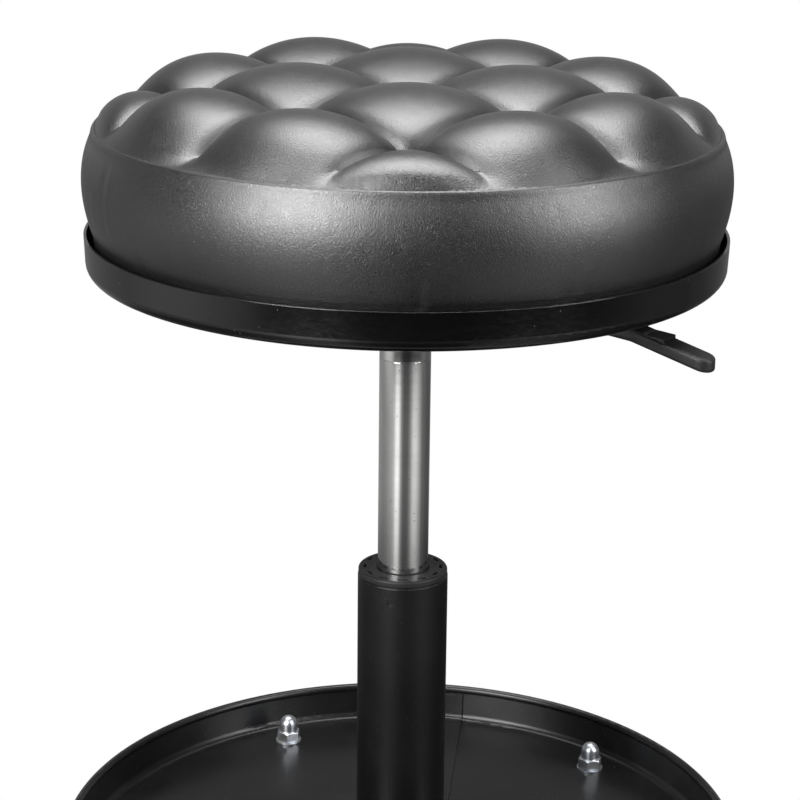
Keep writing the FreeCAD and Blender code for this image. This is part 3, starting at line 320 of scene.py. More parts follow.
@dataclass(frozen=True)
class Plywood(Finish):
    """Raw birch plywood: long grain on its faces and plies on its edge."""

    ply: float = 1.7
    rim: Span = (158.6, 158.9)

    def made(self) -> Material:
        """Face grain, pores, and plies that show on the edge."""
        paint = Paint(self.name)
        long_grain = paint.noise(1.4, 4.0, 0.6, paint.stretched(0.08, 1.0, 1.0))
        figure = paint.noise(24.0, 3.0, 0.6, paint.stretched(0.15, 1.0, 1.0))
        plies = paint.axis("Z").wave(self.ply * 2 * MM).rise(0.42, 0.58)
        on_edge = paint.radius().rise(*(reach * MM for reach in self.rim))
        face = paint.blend(figure.rise(0.35, 0.7), self.colour, self.shade(0.72))
        face = paint.blend(long_grain.rise(0.58, 0.75) * 0.6, face, self.shade(0.45))
        edge = paint.blend(plies, self.shade(0.5), self.shade(1.05))
        return paint.wear(paint.blend(on_edge, face, edge), long_grain * 0.2 + self.roughness,
                          paint.relief(long_grain + plies * on_edge, 0.12))


@dataclass(frozen=True)
class ZincPlate(Finish):
    """Bright zinc plate: bluish, cloudy, with fine rubbing marks."""

    def made(self) -> Material:
        """Clouds, tinted patches, scuffs and dulled edges."""
        paint = Paint(self.name, metallic=1.0)
        clouds = paint.noise(3.2, 4.0, 0.6)
        tint = paint.noise(9.0, 2.0)
        scuffs = paint.noise(0.5, 2.0, 0.5, paint.stretched(0.12, 1.0, 0.5))
        colour = paint.blend(clouds.rise(0.3, 0.7), self.shade(0.78), self.colour)
        colour = paint.blend(tint.rise(0.52, 0.72) * 0.5, colour, STRAW_TINT)
        colour = paint.blend(paint.edge(0.4) * 0.5, colour, RUBBED_ZINC)
        gloss = clouds * 0.22 + scuffs * 0.14 + (self.roughness - 0.16)
        return paint.wear(colour, gloss, paint.relief(clouds * 0.5 + scuffs * 0.3, 0.035))


@dataclass(frozen=True)
class GlossEnamel(Finish):
    """Gloss black enamel on a pressed dish, with orange peel and settled dust."""

    def made(self) -> Material:
        """Orange peel, hazy patches, dust nibs and thin paint on the edges."""
        paint = Paint(self.name, ior=1.65)
        peel = paint.noise(3.4, 2.0, 0.4)
        haze = paint.noise(34.0, 4.0, 0.6)
        nibs = paint.specks(3.0, 0.07)
        wipes = paint.noise(0.7, 3.0, 0.5, paint.stretched(0.25, 0.25, 1.0))
        colour = paint.blend(haze.rise(0.4, 0.8), self.colour, self.shade(1.7))
        colour = paint.blend(nibs * 0.5, colour, DUST_NIB)
        colour = paint.blend(paint.edge(0.6) * 0.35, colour, THIN_ENAMEL)
        gloss = haze * 0.10 + wipes * 0.06 + nibs * 0.3 + (self.roughness - 0.08)
        normal = paint.relief(peel, 0.028, paint.rounded(0.6))
        return paint.wear(colour, gloss, paint.relief(nibs, 0.05, normal))


@dataclass(frozen=True)
class PowderCoat(Finish):
    """Black powder coat on pressed steel, with a fine texture, scuffs and chipped edges."""

    texture: float = 1.3
    dust: float = 0.35

    def made(self) -> Material:
        """Texture, dust, scuffs, and paint that is thin or gone along the edges."""
        paint = Paint(self.name, ior=1.5)
        pebble = paint.noise(self.texture, 3.0, 0.55)
        patches = paint.noise(48.0, 4.0, 0.6)
        scuffs = paint.noise(0.9, 3.0, 0.6, paint.stretched(1.0, 0.07, 0.4)).rise(0.66, 0.80)
        chips = paint.edge(0.8) * paint.noise(2.6, 4.0, 0.7).rise(0.50, 0.62)
        haze = patches.rise(0.45, 0.8) * paint.noise(0.6, 2.0).rise(0.5, 0.8)
        dust = paint.specks(4.2, 0.5) * 0.6 + haze * 0.3
        colour = paint.blend(patches.rise(0.3, 0.75), self.colour, self.shade(1.6))
        colour = paint.blend(dust * self.dust, colour, SETTLED_DUST)
        colour = paint.blend(scuffs * 0.35, colour, self.shade(4.0))
        colour = paint.blend(chips * 0.6, colour, BARE_STEEL)
        gloss = patches * 0.16 + scuffs * 0.12 + chips * 0.1 + dust * 0.3 + (self.roughness - 0.08)
        return paint.wear(colour, gloss, paint.relief(pebble, 0.03, paint.rounded(0.5)))


@dataclass(frozen=True)
class PolishedSteel(Finish):
    """Polished and chromed tube with a fine grain that runs round it."""

    def made(self) -> Material:
        """Rings of grain, wiped oil and faint pits."""
        paint = Paint(self.name, metallic=1.0)
        rings = paint.noise(0.16, 3.0, 0.7, paint.stretched(0.02, 0.02, 1.0))
        bands = paint.noise(2.2, 2.0, 0.5, paint.stretched(0.05, 0.05, 1.0))
        smears = paint.noise(11.0, 4.0, 0.6, paint.stretched(1.0, 1.0, 0.5))
        pits = paint.specks(3.2, 0.3)
        colour = paint.blend(smears.rise(0.4, 0.8) * 0.5, self.colour, self.shade(0.82))
        colour = paint.blend(pits * 0.7, colour, PIT_STAIN)
        gloss = bands * 0.06 + smears * 0.07 + pits * 0.3 + (self.roughness - 0.05)
        normal = paint.relief(rings, 0.006)
        return paint.wear(colour, gloss, paint.relief(bands, 0.006, normal))


@dataclass(frozen=True)
class TurnedSteel(Finish):
    """Machined steel with a film of grease and tool marks, whose feeds are in millimetres."""

    feed_out: float = 0.35
    feed_along: float = 0.42

    def made(self) -> Material:
        """Tool rings, grease patches and bright corners."""
        paint = Paint(self.name, metallic=1.0)
        facing, turning = paint.radius().wave(self.feed_out * MM), paint.axis("Z").wave(self.feed_along * MM)
        rings = facing * 0.5 + turning * 0.5
        grease = paint.noise(7.0, 4.0, 0.6)
        colour = paint.blend(grease.rise(0.4, 0.7), self.colour, self.shade(0.55))
        colour = paint.blend(paint.edge(0.3) * 0.6, colour, self.shade(1.5))
        gloss = grease * 0.2 + rings * 0.06 + (self.roughness - 0.12)
        return paint.wear(colour, gloss, paint.relief(rings + grease * 0.6, 0.012))


@dataclass(frozen=True)
class MouldedPlastic(Finish):
    """Moulded black plastic with a spark-eroded texture and rubbed corners."""

    corner: float = 0.4

    def made(self) -> Material:
        """Spark texture, flow patches and polished edges."""
        paint = Paint(self.name, ior=1.48)
        spark = paint.noise(0.55, 3.0, 0.65)
        flow = paint.noise(16.0, 3.0)
        rubbed = paint.edge(0.9)
        colour = paint.blend(flow.rise(0.35, 0.7), self.colour, self.shade(1.5))
        colour = paint.blend(rubbed * 0.4, colour, self.shade(3.0))
        gloss = flow * 0.10 + spark * 0.12 + rubbed * -0.14 + (self.roughness - 0.08)
        return paint.wear(colour, gloss, paint.relief(spark, 0.03, paint.rounded(self.corner)))


@dataclass(frozen=True)
class Rubber(Finish):
    """Soft black tread that has picked up floor dust."""

    def made(self) -> Material:
        """Dust, worn grey patches and fine tears."""
        paint = Paint(self.name, ior=1.45)
        dust = paint.noise(6.0, 5.0, 0.65)
        tears = paint.noise(0.8, 4.0, 0.7)
        colour = paint.blend(dust.rise(0.48, 0.72) * 0.6, self.colour, TROD_DUST)
        colour = paint.blend(paint.specks(2.4, 0.5) * 0.5, colour, FLOOR_GRIT)
        return paint.wear(colour, dust * 0.15 + self.roughness, paint.relief(tears, 0.06))


class Slot(Enum):
    """The record's material slots, each with the finish that its solids get."""

    vinyl = Vinyl("vinyl_cover", (0.009, 0.009, 0.0095), 0.37)
    foam = Foam("seat_foam_cells", (0.75, 0.72, 0.60), 0.95)
    plywood = Plywood("birch_plywood", (0.62, 0.47, 0.30), 0.6)
    zinc_steel = ZincPlate("zinc_plate", (0.72, 0.75, 0.80), 0.34)
    gloss_black_steel = GlossEnamel("gloss_enamel", (0.0025, 0.0025, 0.0028), 0.13)
    black_steel = PowderCoat("powder_coat", (0.011, 0.011, 0.012), 0.30)
    polished_steel = PolishedSteel("polished_tube", (0.80, 0.80, 0.79), 0.12)
    plain_steel = TurnedSteel("turned_steel", (0.55, 0.55, 0.56), 0.32)
    black_plastic = MouldedPlastic("moulded_plastic", (0.022, 0.022, 0.023), 0.52)
    black_rubber = Rubber("tread_rubber", (0.024, 0.024, 0.024), 0.72)


SPECIAL_FINISHES = {
    "column_tube": PowderCoat("column_coat", (0.005, 0.005, 0.0055), 0.38, texture=1.0, dust=0.12),
    "lever_grip": MouldedPlastic("grip_plastic", (0.016, 0.016, 0.017), 0.42, corner=2.2),
    "lever_arm": Slot.black_steel.value,
}


@dataclass
class PressedAndTurnedParts:
    """The solids whose shape is right as it comes from the CAD model."""

    special: dict[str, Finish]

    def dress(self) -> None:
        """Gives every solid the finish of its slot."""
        for name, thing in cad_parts.items():
            slot_name = thing.data.materials[0].name.split(".")[0]
            finish = self.special.get(name) or Slot[slot_name].value
            thing.data.materials[0] = finish.material()
            LOG.info("%s: %s", name, finish.name)


def placed(name: str, data: ID) -> Object:
    """A new object in the scene."""
    thing = bpy.data.objects.new(name, data)
    bpy.context.scene.collection.objects.link(thing)
    return thing


def piece(name: str, mesh: BMesh, slot: Slot, smooth_below: float) -> Object:
    """Turns a worked mesh into an object with a finish.

    Args:
        name: The piece's name.
        mesh: The mesh in metres, at its place. It is freed.
        slot: The slot whose finish it gets.
        smooth_below: Edges that bend less than this many degrees are shaded smooth.

    Returns:
        The new object.
    """
    data = bpy.data.meshes.new(name)
    for face in mesh.faces:
        face.smooth = True
    for edge in mesh.edges:
        bent = len(edge.link_faces) == 2 and edge.calc_face_angle(0.0) >= math.radians(smooth_below)
        edge.smooth = edge.smooth and not bent
    mesh.to_mesh(data)
    mesh.free()
    data.materials.append(slot.value.material())
    return placed(name, data)


# Seat.


@dataclass(frozen=True)
class Fold:
    """A small upright fold of the side band: a groove with a low bulge beside it.

    Its place is in degrees, and its sizes are millimetres.
    """

    place: float
    low: float
    high: float
    width: float
    depth: float
    fade: float = 6.0
    bulge: float = 0.55
    bulge_offset: float = 1.6
    reach: float = 3.0

    def push(self, angle: float, radius: float, height: float) -> float:
        """How far it moves a point of the band outwards."""
        turn = (angle - math.radians(self.place) + math.pi) % math.tau - math.pi
        across = turn * radius / self.width
        if abs(across) >= self.reach or not self.low - self.fade < height < self.high + self.fade:
            return 0.0
        ends = (min(1.0, (height - self.low + self.fade) / self.fade)
                * min(1.0, (self.high + self.fade - height) / self.fade))
        bulge = self.bulge * math.exp(-(across - self.bulge_offset) ** 2)
        return self.depth * ends * (math.exp(-across * across) - bulge)


FOLDS = tuple(Fold(*sizes) for sizes in (
    (-152.0, 18.0, 40.0, 2.6, -0.7), (-160.0, 4.0, 24.0, 3.2, -0.5), (-141.0, 2.0, 14.0, 2.4, -0.5),
    (-88.0, 1.0, 12.0, 2.6, -0.6), (-62.0, 1.0, 16.0, 2.8, -0.6), (-58.5, 3.0, 12.0, 2.0, -0.4),
    (-31.0, 2.0, 20.0, 3.0, -0.5), (14.0, 1.0, 17.0, 2.6, -0.6), (48.0, 3.0, 22.0, 3.2, -0.6),
    (101.0, 1.0, 15.0, 2.6, -0.6), (139.0, 2.0, 20.0, 2.8, -0.6), (172.0, 2.0, 26.0, 3.0, -0.6)))

CLOTH = {
    "quality": 5,
    "use_pressure": True,
    "uniform_pressure_force": 14.0,
    "tension_stiffness": 3.0,
    "compression_stiffness": 3.0,
    "shear_stiffness": 2.0,
    "bending_stiffness": 0.3,
    "vertex_group_mass": "held",
}


@dataclass
class Cushion:
    """The quilted cushion: a diamond lattice of domes, a seam, and a side band drawn into the pan.

    Sizes are millimetres, and heights count from the pan's rim. Places on the lattice count in
    half cells from a dome's middle, so the creases lie at 1.
    """

    column_pitch: float = 58.25
    row_pitch: float = 56.7
    first_row: float = -68.0
    cells_out: int = 7
    cells_per_side: int = 15
    crown_height: float = 88.0
    seam_radius: float = 163.0
    seam_height: float = 54.0
    crown_fullness: float = 5.6
    side_fullness: float = 1.6
    profile_points: int = 400
    panel_gap: float = 1.2
    dome_depth: float = 9.6
    groove_depth: float = 3.0
    groove_power: int = 14
    pinch_depth: float = 2.5
    pinch_power: int = 6
    fade_width: float = 42.0
    fade_power: float = 2.4
    crease_from: float = 0.995
    crease_end: float = 12.0
    lining_gap: float = 0.15
    band_radius: float = 165.0
    ceiling_rings: tuple[float, ...] = (52.0, 36.0, 22.0)
    held_from: float = 0.91
    held_rise: float = 0.07
    held_seam: float = 3.4
    puff_limit: float = 4.0
    puff_frames: int = 20

    def __post_init__(self) -> None:
        """Reads the levels of the solids that it sits in."""
        self.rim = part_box("seat_pan")[1].z / MM
        self.board_low, self.board_high = (corner.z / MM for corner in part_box("seat_board"))
        self.board_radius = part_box("seat_board")[1].x / MM
        self.foam_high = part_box("seat_foam")[1].z / MM
        self.foam_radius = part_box("seat_foam")[1].x / MM
        self.foot_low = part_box("seat_cover")[0].z / MM
        turns = np.linspace(0.0, math.pi / 2, self.profile_points)
        radii = self.seam_radius * np.sin(turns) ** (2 / self.crown_fullness)
        rise = self.crown_height - self.seam_height
        heights = self.seam_height + rise * np.cos(turns) ** (2 / self.side_fullness)
        self.profile = radii, heights
        self.along = np.concatenate(([0.0], np.cumsum(np.hypot(np.diff(radii), np.diff(heights)))))

    def crown(self, x: np.ndarray, y: np.ndarray) -> np.ndarray:
        """Wraps flat points of the quilted panel over the crown.

        Args:
            x: Distances across the panel.
            y: Distances along it.

        Returns:
            The points on the cushion, one in each row.
        """
        spread = np.hypot(x, y)
        far = np.maximum(spread, 1e-6)
        radii, heights = self.profile
        radius = np.interp(spread, self.along, radii)
        height = np.interp(spread, self.along, heights)
        step = 0.5
        fall, reach = (np.interp(spread + step, self.along, line) - np.interp(spread - step, self.along, line)
                       for line in (heights, radii))
        size = np.hypot(fall, reach)
        middle = spread < 2 * step
        out, up = np.where(middle, 0.0, -fall / size), np.where(middle, 1.0, reach / size)
        fade = np.clip((self.along[-1] - spread) / self.fade_width, 0.0, 1.0)
        sunk = self.quilt(x, y) * (1 - (1 - fade) ** self.fade_power)
        radius, height = radius - out * sunk, height - up * sunk
        return np.stack([radius * x / far, radius * y / far, height], axis=-1)

    def lattice(self, x: np.ndarray, y: np.ndarray) -> tuple[np.ndarray, np.ndarray]:
        """How far points lie from their domes' middles along both diagonals, from -1 to 1."""
        over, along = x / self.column_pitch, (y - self.first_row) / self.row_pitch
        first, second = over + along, over - along
        return first - 2 * np.round(first / 2), second - 2 * np.round(second / 2)

    def quilt(self, x: np.ndarray, y: np.ndarray) -> np.ndarray:
        """How far the cover lies under the dome tops' envelope."""
        first, second = self.lattice(x, y)
        rounding = self.dome_depth * (first ** 2 + second ** 2)
        flanks = (1 - np.abs(first) ** self.groove_power) * (1 - np.abs(second) ** self.groove_power)
        groove = self.groove_depth * (1 - flanks)
        pinch = self.pinch_depth * (np.abs(first) * np.abs(second)) ** self.pinch_power
        return rounding + groove + pinch

    def side_loops(self) -> list[Span]:
        """The loops after the panel as (radius, height).

        Returns:
            The side band from the seam down, the turn-in under the board, and the hollow that
            holds board and foam.
        """
        gap = self.lining_gap
        low, board_low, board_high, foam = (
            level - self.rim for level in (self.foot_low, self.board_low, self.board_high, self.foam_high))
        low += gap
        board, core = self.board_radius + gap, self.foam_radius + gap
        return [
            (162.4, 55.0), (163.3, 55.7), (164.4, 55.3), (165.0, 53.9), (165.3, 51.6), (166.8, 48.6),
            (168.3, 45.0), (169.3, 41.0), (169.9, 37.0), (170.2, 33.0), (170.3, 29.0), (170.2, 25.0),
            (169.8, 21.0), (169.2, 17.0), (168.4, 13.0), (167.5, 9.5), (166.6, 6.5), (165.8, 3.5),
            (165.1, 0.5), (164.8, -3.0), (164.8, -7.0), (164.8, -11.0), (164.2, low + 2.6),
            (162.6, low + 0.7), (160.0, low), (155.0, low), (149.0, low), (142.0, low), (135.0, low),
            (129.2, low), (129.2, board_low - gap), (145.0, board_low - gap), (board, board_low - gap),
            (board, board_high - 4), (board, board_high + gap), (core, board_high + gap),
            (core, board_high + 16), (core, foam - 20), (core, foam - 7.8),
            (self.foam_radius - 2.2, foam - 2.2), (self.foam_radius - 7.8, foam + gap),
            (120.0, foam + gap), (70.0, foam + gap)]

    def panel(self) -> tuple[BMesh, Loop]:
        """The quilted panel on a grid that follows the creases.

        Returns:
            The mesh in millimetres and its outer loop in order.
        """
        reach = self.along[-1] - self.panel_gap
        count = self.cells_out * self.cells_per_side
        steps = np.arange(-count, count + 1) / self.cells_per_side
        first, second = np.meshgrid(steps, steps, indexing="ij")
        x = self.column_pitch * (first + second) / 2
        y = self.row_pitch * (first - second) / 2 + self.first_row
        outer_strip, weld = 1.6, 0.9
        inside = np.hypot(x, y) < reach - outer_strip
        mesh = bmesh.new()
        flat: dict[tuple[int, int], BMVert] = {}
        faces = inside[:-1, :-1] & inside[1:, :-1] & inside[1:, 1:] & inside[:-1, 1:]
        for a, b in zip(*np.nonzero(faces)):
            for spot in ((a, b), (a + 1, b), (a + 1, b + 1), (a, b + 1)):
                if spot not in flat:
                    flat[spot] = mesh.verts.new((x[spot], y[spot], 0.0))
            mesh.faces.new([flat[spot] for spot in ((a, b), (a, b + 1), (a + 1, b + 1), (a + 1, b))])
        for vert in mesh.verts:
            if vert.is_boundary:
                vert.co = vert.co.normalized() * reach
        bmesh.ops.remove_doubles(mesh, verts=mesh.verts, dist=weld)
        flat_points = np.array([vert.co for vert in mesh.verts])
        self.sharpen(mesh, flat_points)
        crown = self.crown(flat_points[:, 0], flat_points[:, 1])
        for vert, point in zip(mesh.verts, crown):
            vert.co = point
        rim = [vert for vert in mesh.verts if vert.is_boundary]
        return mesh, sorted(rim, key=lambda vert: math.atan2(vert.co.y, vert.co.x))

    def sharpen(self, mesh: BMesh, points: np.ndarray) -> None:
        """Marks the edges along the creases, by their flat places, so that each stays a sharp valley."""
        weights = mesh.edges.layers.float.new("crease_edge")
        mesh.verts.index_update()
        on_crease = np.abs(np.array(self.lattice(points[:, 0], points[:, 1]))) > self.crease_from
        within = np.hypot(points[:, 0], points[:, 1]) < self.along[-1] - self.crease_end
        for edge in mesh.edges:
            first, second = (vert.index for vert in edge.verts)
            if within[first] and within[second] and (on_crease[:, first] & on_crease[:, second]).any():
                edge[weights] = 1.0
                edge.smooth = False

    @staticmethod
    def fewer(mesh: BMesh, loop: Loop, radius: float) -> Loop:
        """Draws a loop in to a ring with half its points, and gives that ring."""
        kept = loop[::2]
        ring = [mesh.verts.new((*(vert.co.xy.normalized() * radius), vert.co.z)) for vert in kept]
        for here in range(len(kept)):
            after = (here + 1) % len(kept)
            middle = loop[2 * here + 1:2 * here + 2]
            mesh.faces.new([kept[here], ring[here], ring[after], kept[after], *middle])
        return ring

    def form(self) -> Object:
        """The whole closed cover before it is puffed up."""
        mesh, loop = self.panel()
        for radius, height in self.side_loops():
            ring = []
            for vert in loop:
                angle = math.atan2(vert.co.y, vert.co.x)
                out = radius
                if radius > self.band_radius:
                    out += sum(fold.push(angle, radius, height) for fold in FOLDS)
                ring.append(mesh.verts.new((out * math.cos(angle), out * math.sin(angle), height)))
            for here in range(len(loop)):
                after = (here + 1) % len(loop)
                mesh.faces.new((loop[here], ring[here], ring[after], loop[after]))
            loop = ring
        for radius in self.ceiling_rings:
            loop = self.fewer(mesh, loop, radius)
        mesh.faces.new(list(reversed(loop)))
        for vert in mesh.verts:
            vert.co = Vector((vert.co.x, vert.co.y, vert.co.z + self.rim)) * MM
        bmesh.ops.recalc_face_normals(mesh, faces=mesh.faces)
        return piece("quilted_cushion", mesh, Slot.vinyl, smooth_below=180.0)

    def pins(self, thing: Object) -> None:
        """Holds the creases, the seam, the foot and the hollow while the cover puffs up.

        The added millimetres take in the loops beside the foot, the hollow and the seam.
        """
        group = thing.vertex_groups.new(name="held")
        top = (self.rim + self.seam_height) * MM
        foot = (self.rim + 3) * MM
        for vert in thing.data.vertices:
            x, y, z = vert.co
            reach = math.hypot(x, y) / MM
            in_hollow = reach < self.foam_radius + 1 and z < top - 2 * MM
            at_seam = abs(z - top) < self.held_seam * MM and reach > self.seam_radius - 5
            held = 0.0
            if z < foot or in_hollow or at_seam:
                held = 1.0
            elif z > top:
                grow = float(np.interp(reach, self.profile[0], self.along)) / max(reach, 1e-6)
                diagonals = self.lattice(np.array([x / MM * grow]), np.array([y / MM * grow]))
                near = max(abs(float(part[0])) for part in diagonals)
                held = max(0.0, min(1.0, (near - self.held_from) / self.held_rise))
            if held:
                group.add([vert.index], held, "REPLACE")

    def puff(self, thing: Object) -> None:
        """Blows the cover up a little with a cloth simulation, and keeps the result as its mesh."""
        self.pins(thing)
        cloth = thing.modifiers.new("puff", "CLOTH")
        for key, value in CLOTH.items():
            setattr(cloth.settings, key, value)
        cloth.settings.effector_weights.gravity = 0.0
        cloth.collision_settings.use_collision = False
        scene = bpy.context.scene
        for step in range(self.puff_frames):
            scene.frame_set(step + 1)
        start = np.array([vert.co for vert in thing.data.vertices])
        shaped = thing.evaluated_get(bpy.context.evaluated_depsgraph_get()).data
        moved = np.array([vert.co for vert in shaped.vertices]) - start
        size = np.linalg.norm(moved, axis=1, keepdims=True)
        limit = self.puff_limit * MM
        moved *= np.minimum(1.0, limit * np.tanh(size / limit) / np.maximum(size, 1e-9))
        LOG.info("cushion puffed up by at most %.2f mm", float(size.max()) / MM)
        thing.modifiers.remove(cloth)
        thing.data.vertices.foreach_set("co", (start + moved).ravel())
        thing.data.update()
        scene.frame_set(1)

    def build(self) -> Object:
        """Makes the cushion and sets it in the pan."""
        thing = self.form()
        self.puff(thing)
        finer = thing.modifiers.new("finer", "SUBSURF")
        finer.levels = finer.render_levels = 1
        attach(thing, "seat")
        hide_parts("seat_cover")
        return thing

    def core(self) -> Object:
        """The foam block inside the cover: crowned at its sides, flat where the cover lies on it."""
        low, high, radius = self.board_high, self.foam_high, self.foam_radius
        outline = [(0.0, low + 0.1), (60.0, low + 0.1), (120.0, low + 0.1), (radius - 3, low + 0.1),
                   (radius - 1.2, low + 0.8), (radius - 0.6, low + 3), (radius - 0.3, low + 12),
                   (radius - 0.1, (low + high) / 2), (radius - 0.3, high - 14), (radius - 0.9, high - 7),
                   (radius - 3.0, high - 2.6), (radius - 7.5, high - 0.4), (radius - 14, high - 0.1),
                   (110.0, high - 0.1), (60.0, high - 0.1), (0.0, high - 0.1)]
        thing = piece("foam_core", lathe(outline, steps=180), Slot.foam, smooth_below=60.0)
        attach(thing, "seat")
        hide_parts("seat_foam")
        return thing


def walls(mesh: BMesh, rows: list[Loop]) -> None:
    """Joins rows of points with faces. A row that repeats one point is a pole."""
    for low, high in zip(rows, rows[1:]):
        for here in range(len(low)):
            after = (here + 1) % len(low)
            corners = list(dict.fromkeys((low[here], low[after], high[after], high[here])))
            if len(corners) > 2:
                mesh.faces.new(corners)
    bmesh.ops.recalc_face_normals(mesh, faces=mesh.faces)


def lathe(outline: list[Span], steps: int) -> BMesh:
    """Turns an outline of (radius, height) in millimetres about the column's axis.

    Args:
        outline: Its points, from the axis and back to it. A radius of 0 makes a pole.
        steps: The faces round it.

    Returns:
        The closed mesh in metres.
    """
    mesh = bmesh.new()
    rows = []
    for radius, height in outline:
        if radius == 0.0:
            rows.append([mesh.verts.new((0.0, 0.0, height * MM))] * steps)
        else:
            turns = (math.tau * n / steps for n in range(steps))
            rows.append([mesh.verts.new((radius * MM * math.cos(a), radius * MM * math.sin(a), height * MM))
                         for a in turns])
    walls(mesh, rows)
    return mesh


# Tray.


@dataclass
class DomeNuts:
    """Domed nuts on the caster stems, set in a ring by geometry nodes. Sizes are millimetres."""

    count: int = 5
    circle: float = 164.0
    first_angle: float = 43.8
    flats: float = 13.0
    hex_height: float = 6.5
    dome_radius: float = 5.6
    chamfer: float = 0.35
    chamfer_slope: float = 0.56
    bore: float = 4.15
    thread_depth: float = 10.2
    bore_depth: float = 11.6
    sides: int = 48
    dome_rings: int = 9

    def nut(self) -> BMesh:
        """One nut at the origin: chamfered hexagon, neck, dome and blind bore."""
        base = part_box("dome_nuts")[0].z / MM
        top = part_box("dome_nuts")[1].z / MM - base
        neck = top - self.dome_radius
        mesh = bmesh.new()

        def ring(radius: float, height: float, hexagonal: bool = False, slope: float = 0.0) -> Loop:
            """One ring of the nut, round or hexagonal, lowered by a slope where its corners stand out."""
            verts = []
            for n in range(self.sides):
                turn = math.tau * n / self.sides
                corner = (turn + math.pi / 6) % (math.pi / 3) - math.pi / 6
                reach = radius / math.cos(corner) if hexagonal else radius
                drop = slope * max(0.0, reach - half + self.chamfer)
                verts.append(mesh.verts.new((reach * MM * math.cos(turn), reach * MM * math.sin(turn),
                                             (base + height - drop) * MM)))
            return verts

        half, tall, ball, slope = self.flats / 2, self.hex_height, self.dome_radius, self.chamfer_slope
        outline = [(self.bore, self.thread_depth), (self.bore, 0.6), (self.bore + 0.6, 0.0),
                   (half - 0.5, 0.0), (half, 0.35, True), (half, 0.9, True), (half, tall - 0.15, True, slope),
                   (half - 0.12, tall, True, slope), (half - 0.75, tall + 0.02), (ball + 0.25, tall + 0.05),
                   (ball, tall + 0.35), (ball, neck - 0.6)]
        rows = [ring(*spot) for spot in outline]
        rows += [ring(ball * math.cos(a), neck + ball * math.sin(a))
                 for a in (math.pi / 2 * k / self.dome_rings for k in range(self.dome_rings))]
        ends = [[mesh.verts.new((0.0, 0.0, (base + height) * MM))] * self.sides
                for height in (self.bore_depth, top)]
        walls(mesh, [ends[0], *rows, ends[1]])
        return mesh

    def build(self) -> Object:
        """Sets the nuts on the stems."""
        thing = piece("domed_nuts", self.nut(), Slot.zinc_steel, smooth_below=28.0)
        settled = set_in_ring(thing, self.count, self.circle * MM, math.radians(self.first_angle))
        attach(settled, "base")
        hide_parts("dome_nuts")
        return settled


def set_in_ring(thing: Object, count: int, circle: float, first: float) -> Object:
    """Sets copies of an object in a ring round the column with geometry nodes, each facing outwards.

    Args:
        thing: The object, which is replaced.
        count: How many copies there are.
        circle: The ring's radius in metres.
        first: The direction of the first copy in radians.

    Returns:
        The copies as one plain mesh, with the object's name.
    """
    name, material = thing.name, thing.data.materials[0]
    tree = bpy.data.node_groups.new("nuts_on_stems", "GeometryNodeTree")
    for way in ("INPUT", "OUTPUT"):
        tree.interface.new_socket("Geometry", in_out=way, socket_type="NodeSocketGeometry")
    graph = Graph(tree)
    shape = graph.node("NodeGroupInput")
    spots = graph.node("GeometryNodePoints", None, {"Count": count})
    angle = graph.node("GeometryNodeInputIndex") * math.tau / count + first
    x, y = (graph.maths(way, angle, 0.0) * circle for way in ("COSINE", "SINE"))
    place = graph.node("CombineXYZ", None, {"X": x, "Y": y})
    outward = graph.node("CombineXYZ", None, {"Z": angle})
    spots = graph.node("GeometryNodeSetPosition", None, {"Geometry": spots, "Position": place})
    copies = graph.node("GeometryNodeInstanceOnPoints", None,
                        {"Points": spots, "Instance": shape, "Rotation": outward})
    solid = graph.node("GeometryNodeRealizeInstances", None, {"Geometry": copies})
    covered = graph.node("GeometryNodeSetMaterial", None, {"Geometry": solid, "Material": material})
    tree.links.new(covered.socket, tree.nodes.new("NodeGroupOutput").inputs[0])
    thing.modifiers.new("set", "NODES").node_group = tree
    thing.update_tag()
    shaped = thing.evaluated_get(bpy.context.evaluated_depsgraph_get())
    data = bpy.data.meshes.new_from_object(shaped)
    bpy.data.objects.remove(thing)
    data.name = name
    return placed(name, data)


# Studio.


@dataclass
class Lamp:
    """A soft square lamp. Places and sizes are metres, and its power is in watts."""

    name: str
    place: Colour
    width: float
    height: float
    power: float
    aim: Colour = (0.0, 0.0, 0.5)
    gloss_only: bool = False

    def build(self) -> None:
        """Hangs the lamp and turns it to what it lights."""
        light = bpy.data.lights.new(self.name, "AREA")
        light.shape, light.size, light.size_y = "RECTANGLE", self.width, self.height
        light.energy = self.power
        thing = placed(self.name, light)
        thing.location = self.place
        thing.rotation_euler = (Vector(self.aim) - Vector(self.place)).to_track_quat("-Z", "Y").to_euler()
        thing.visible_camera = False
        thing.visible_diffuse = not self.gloss_only


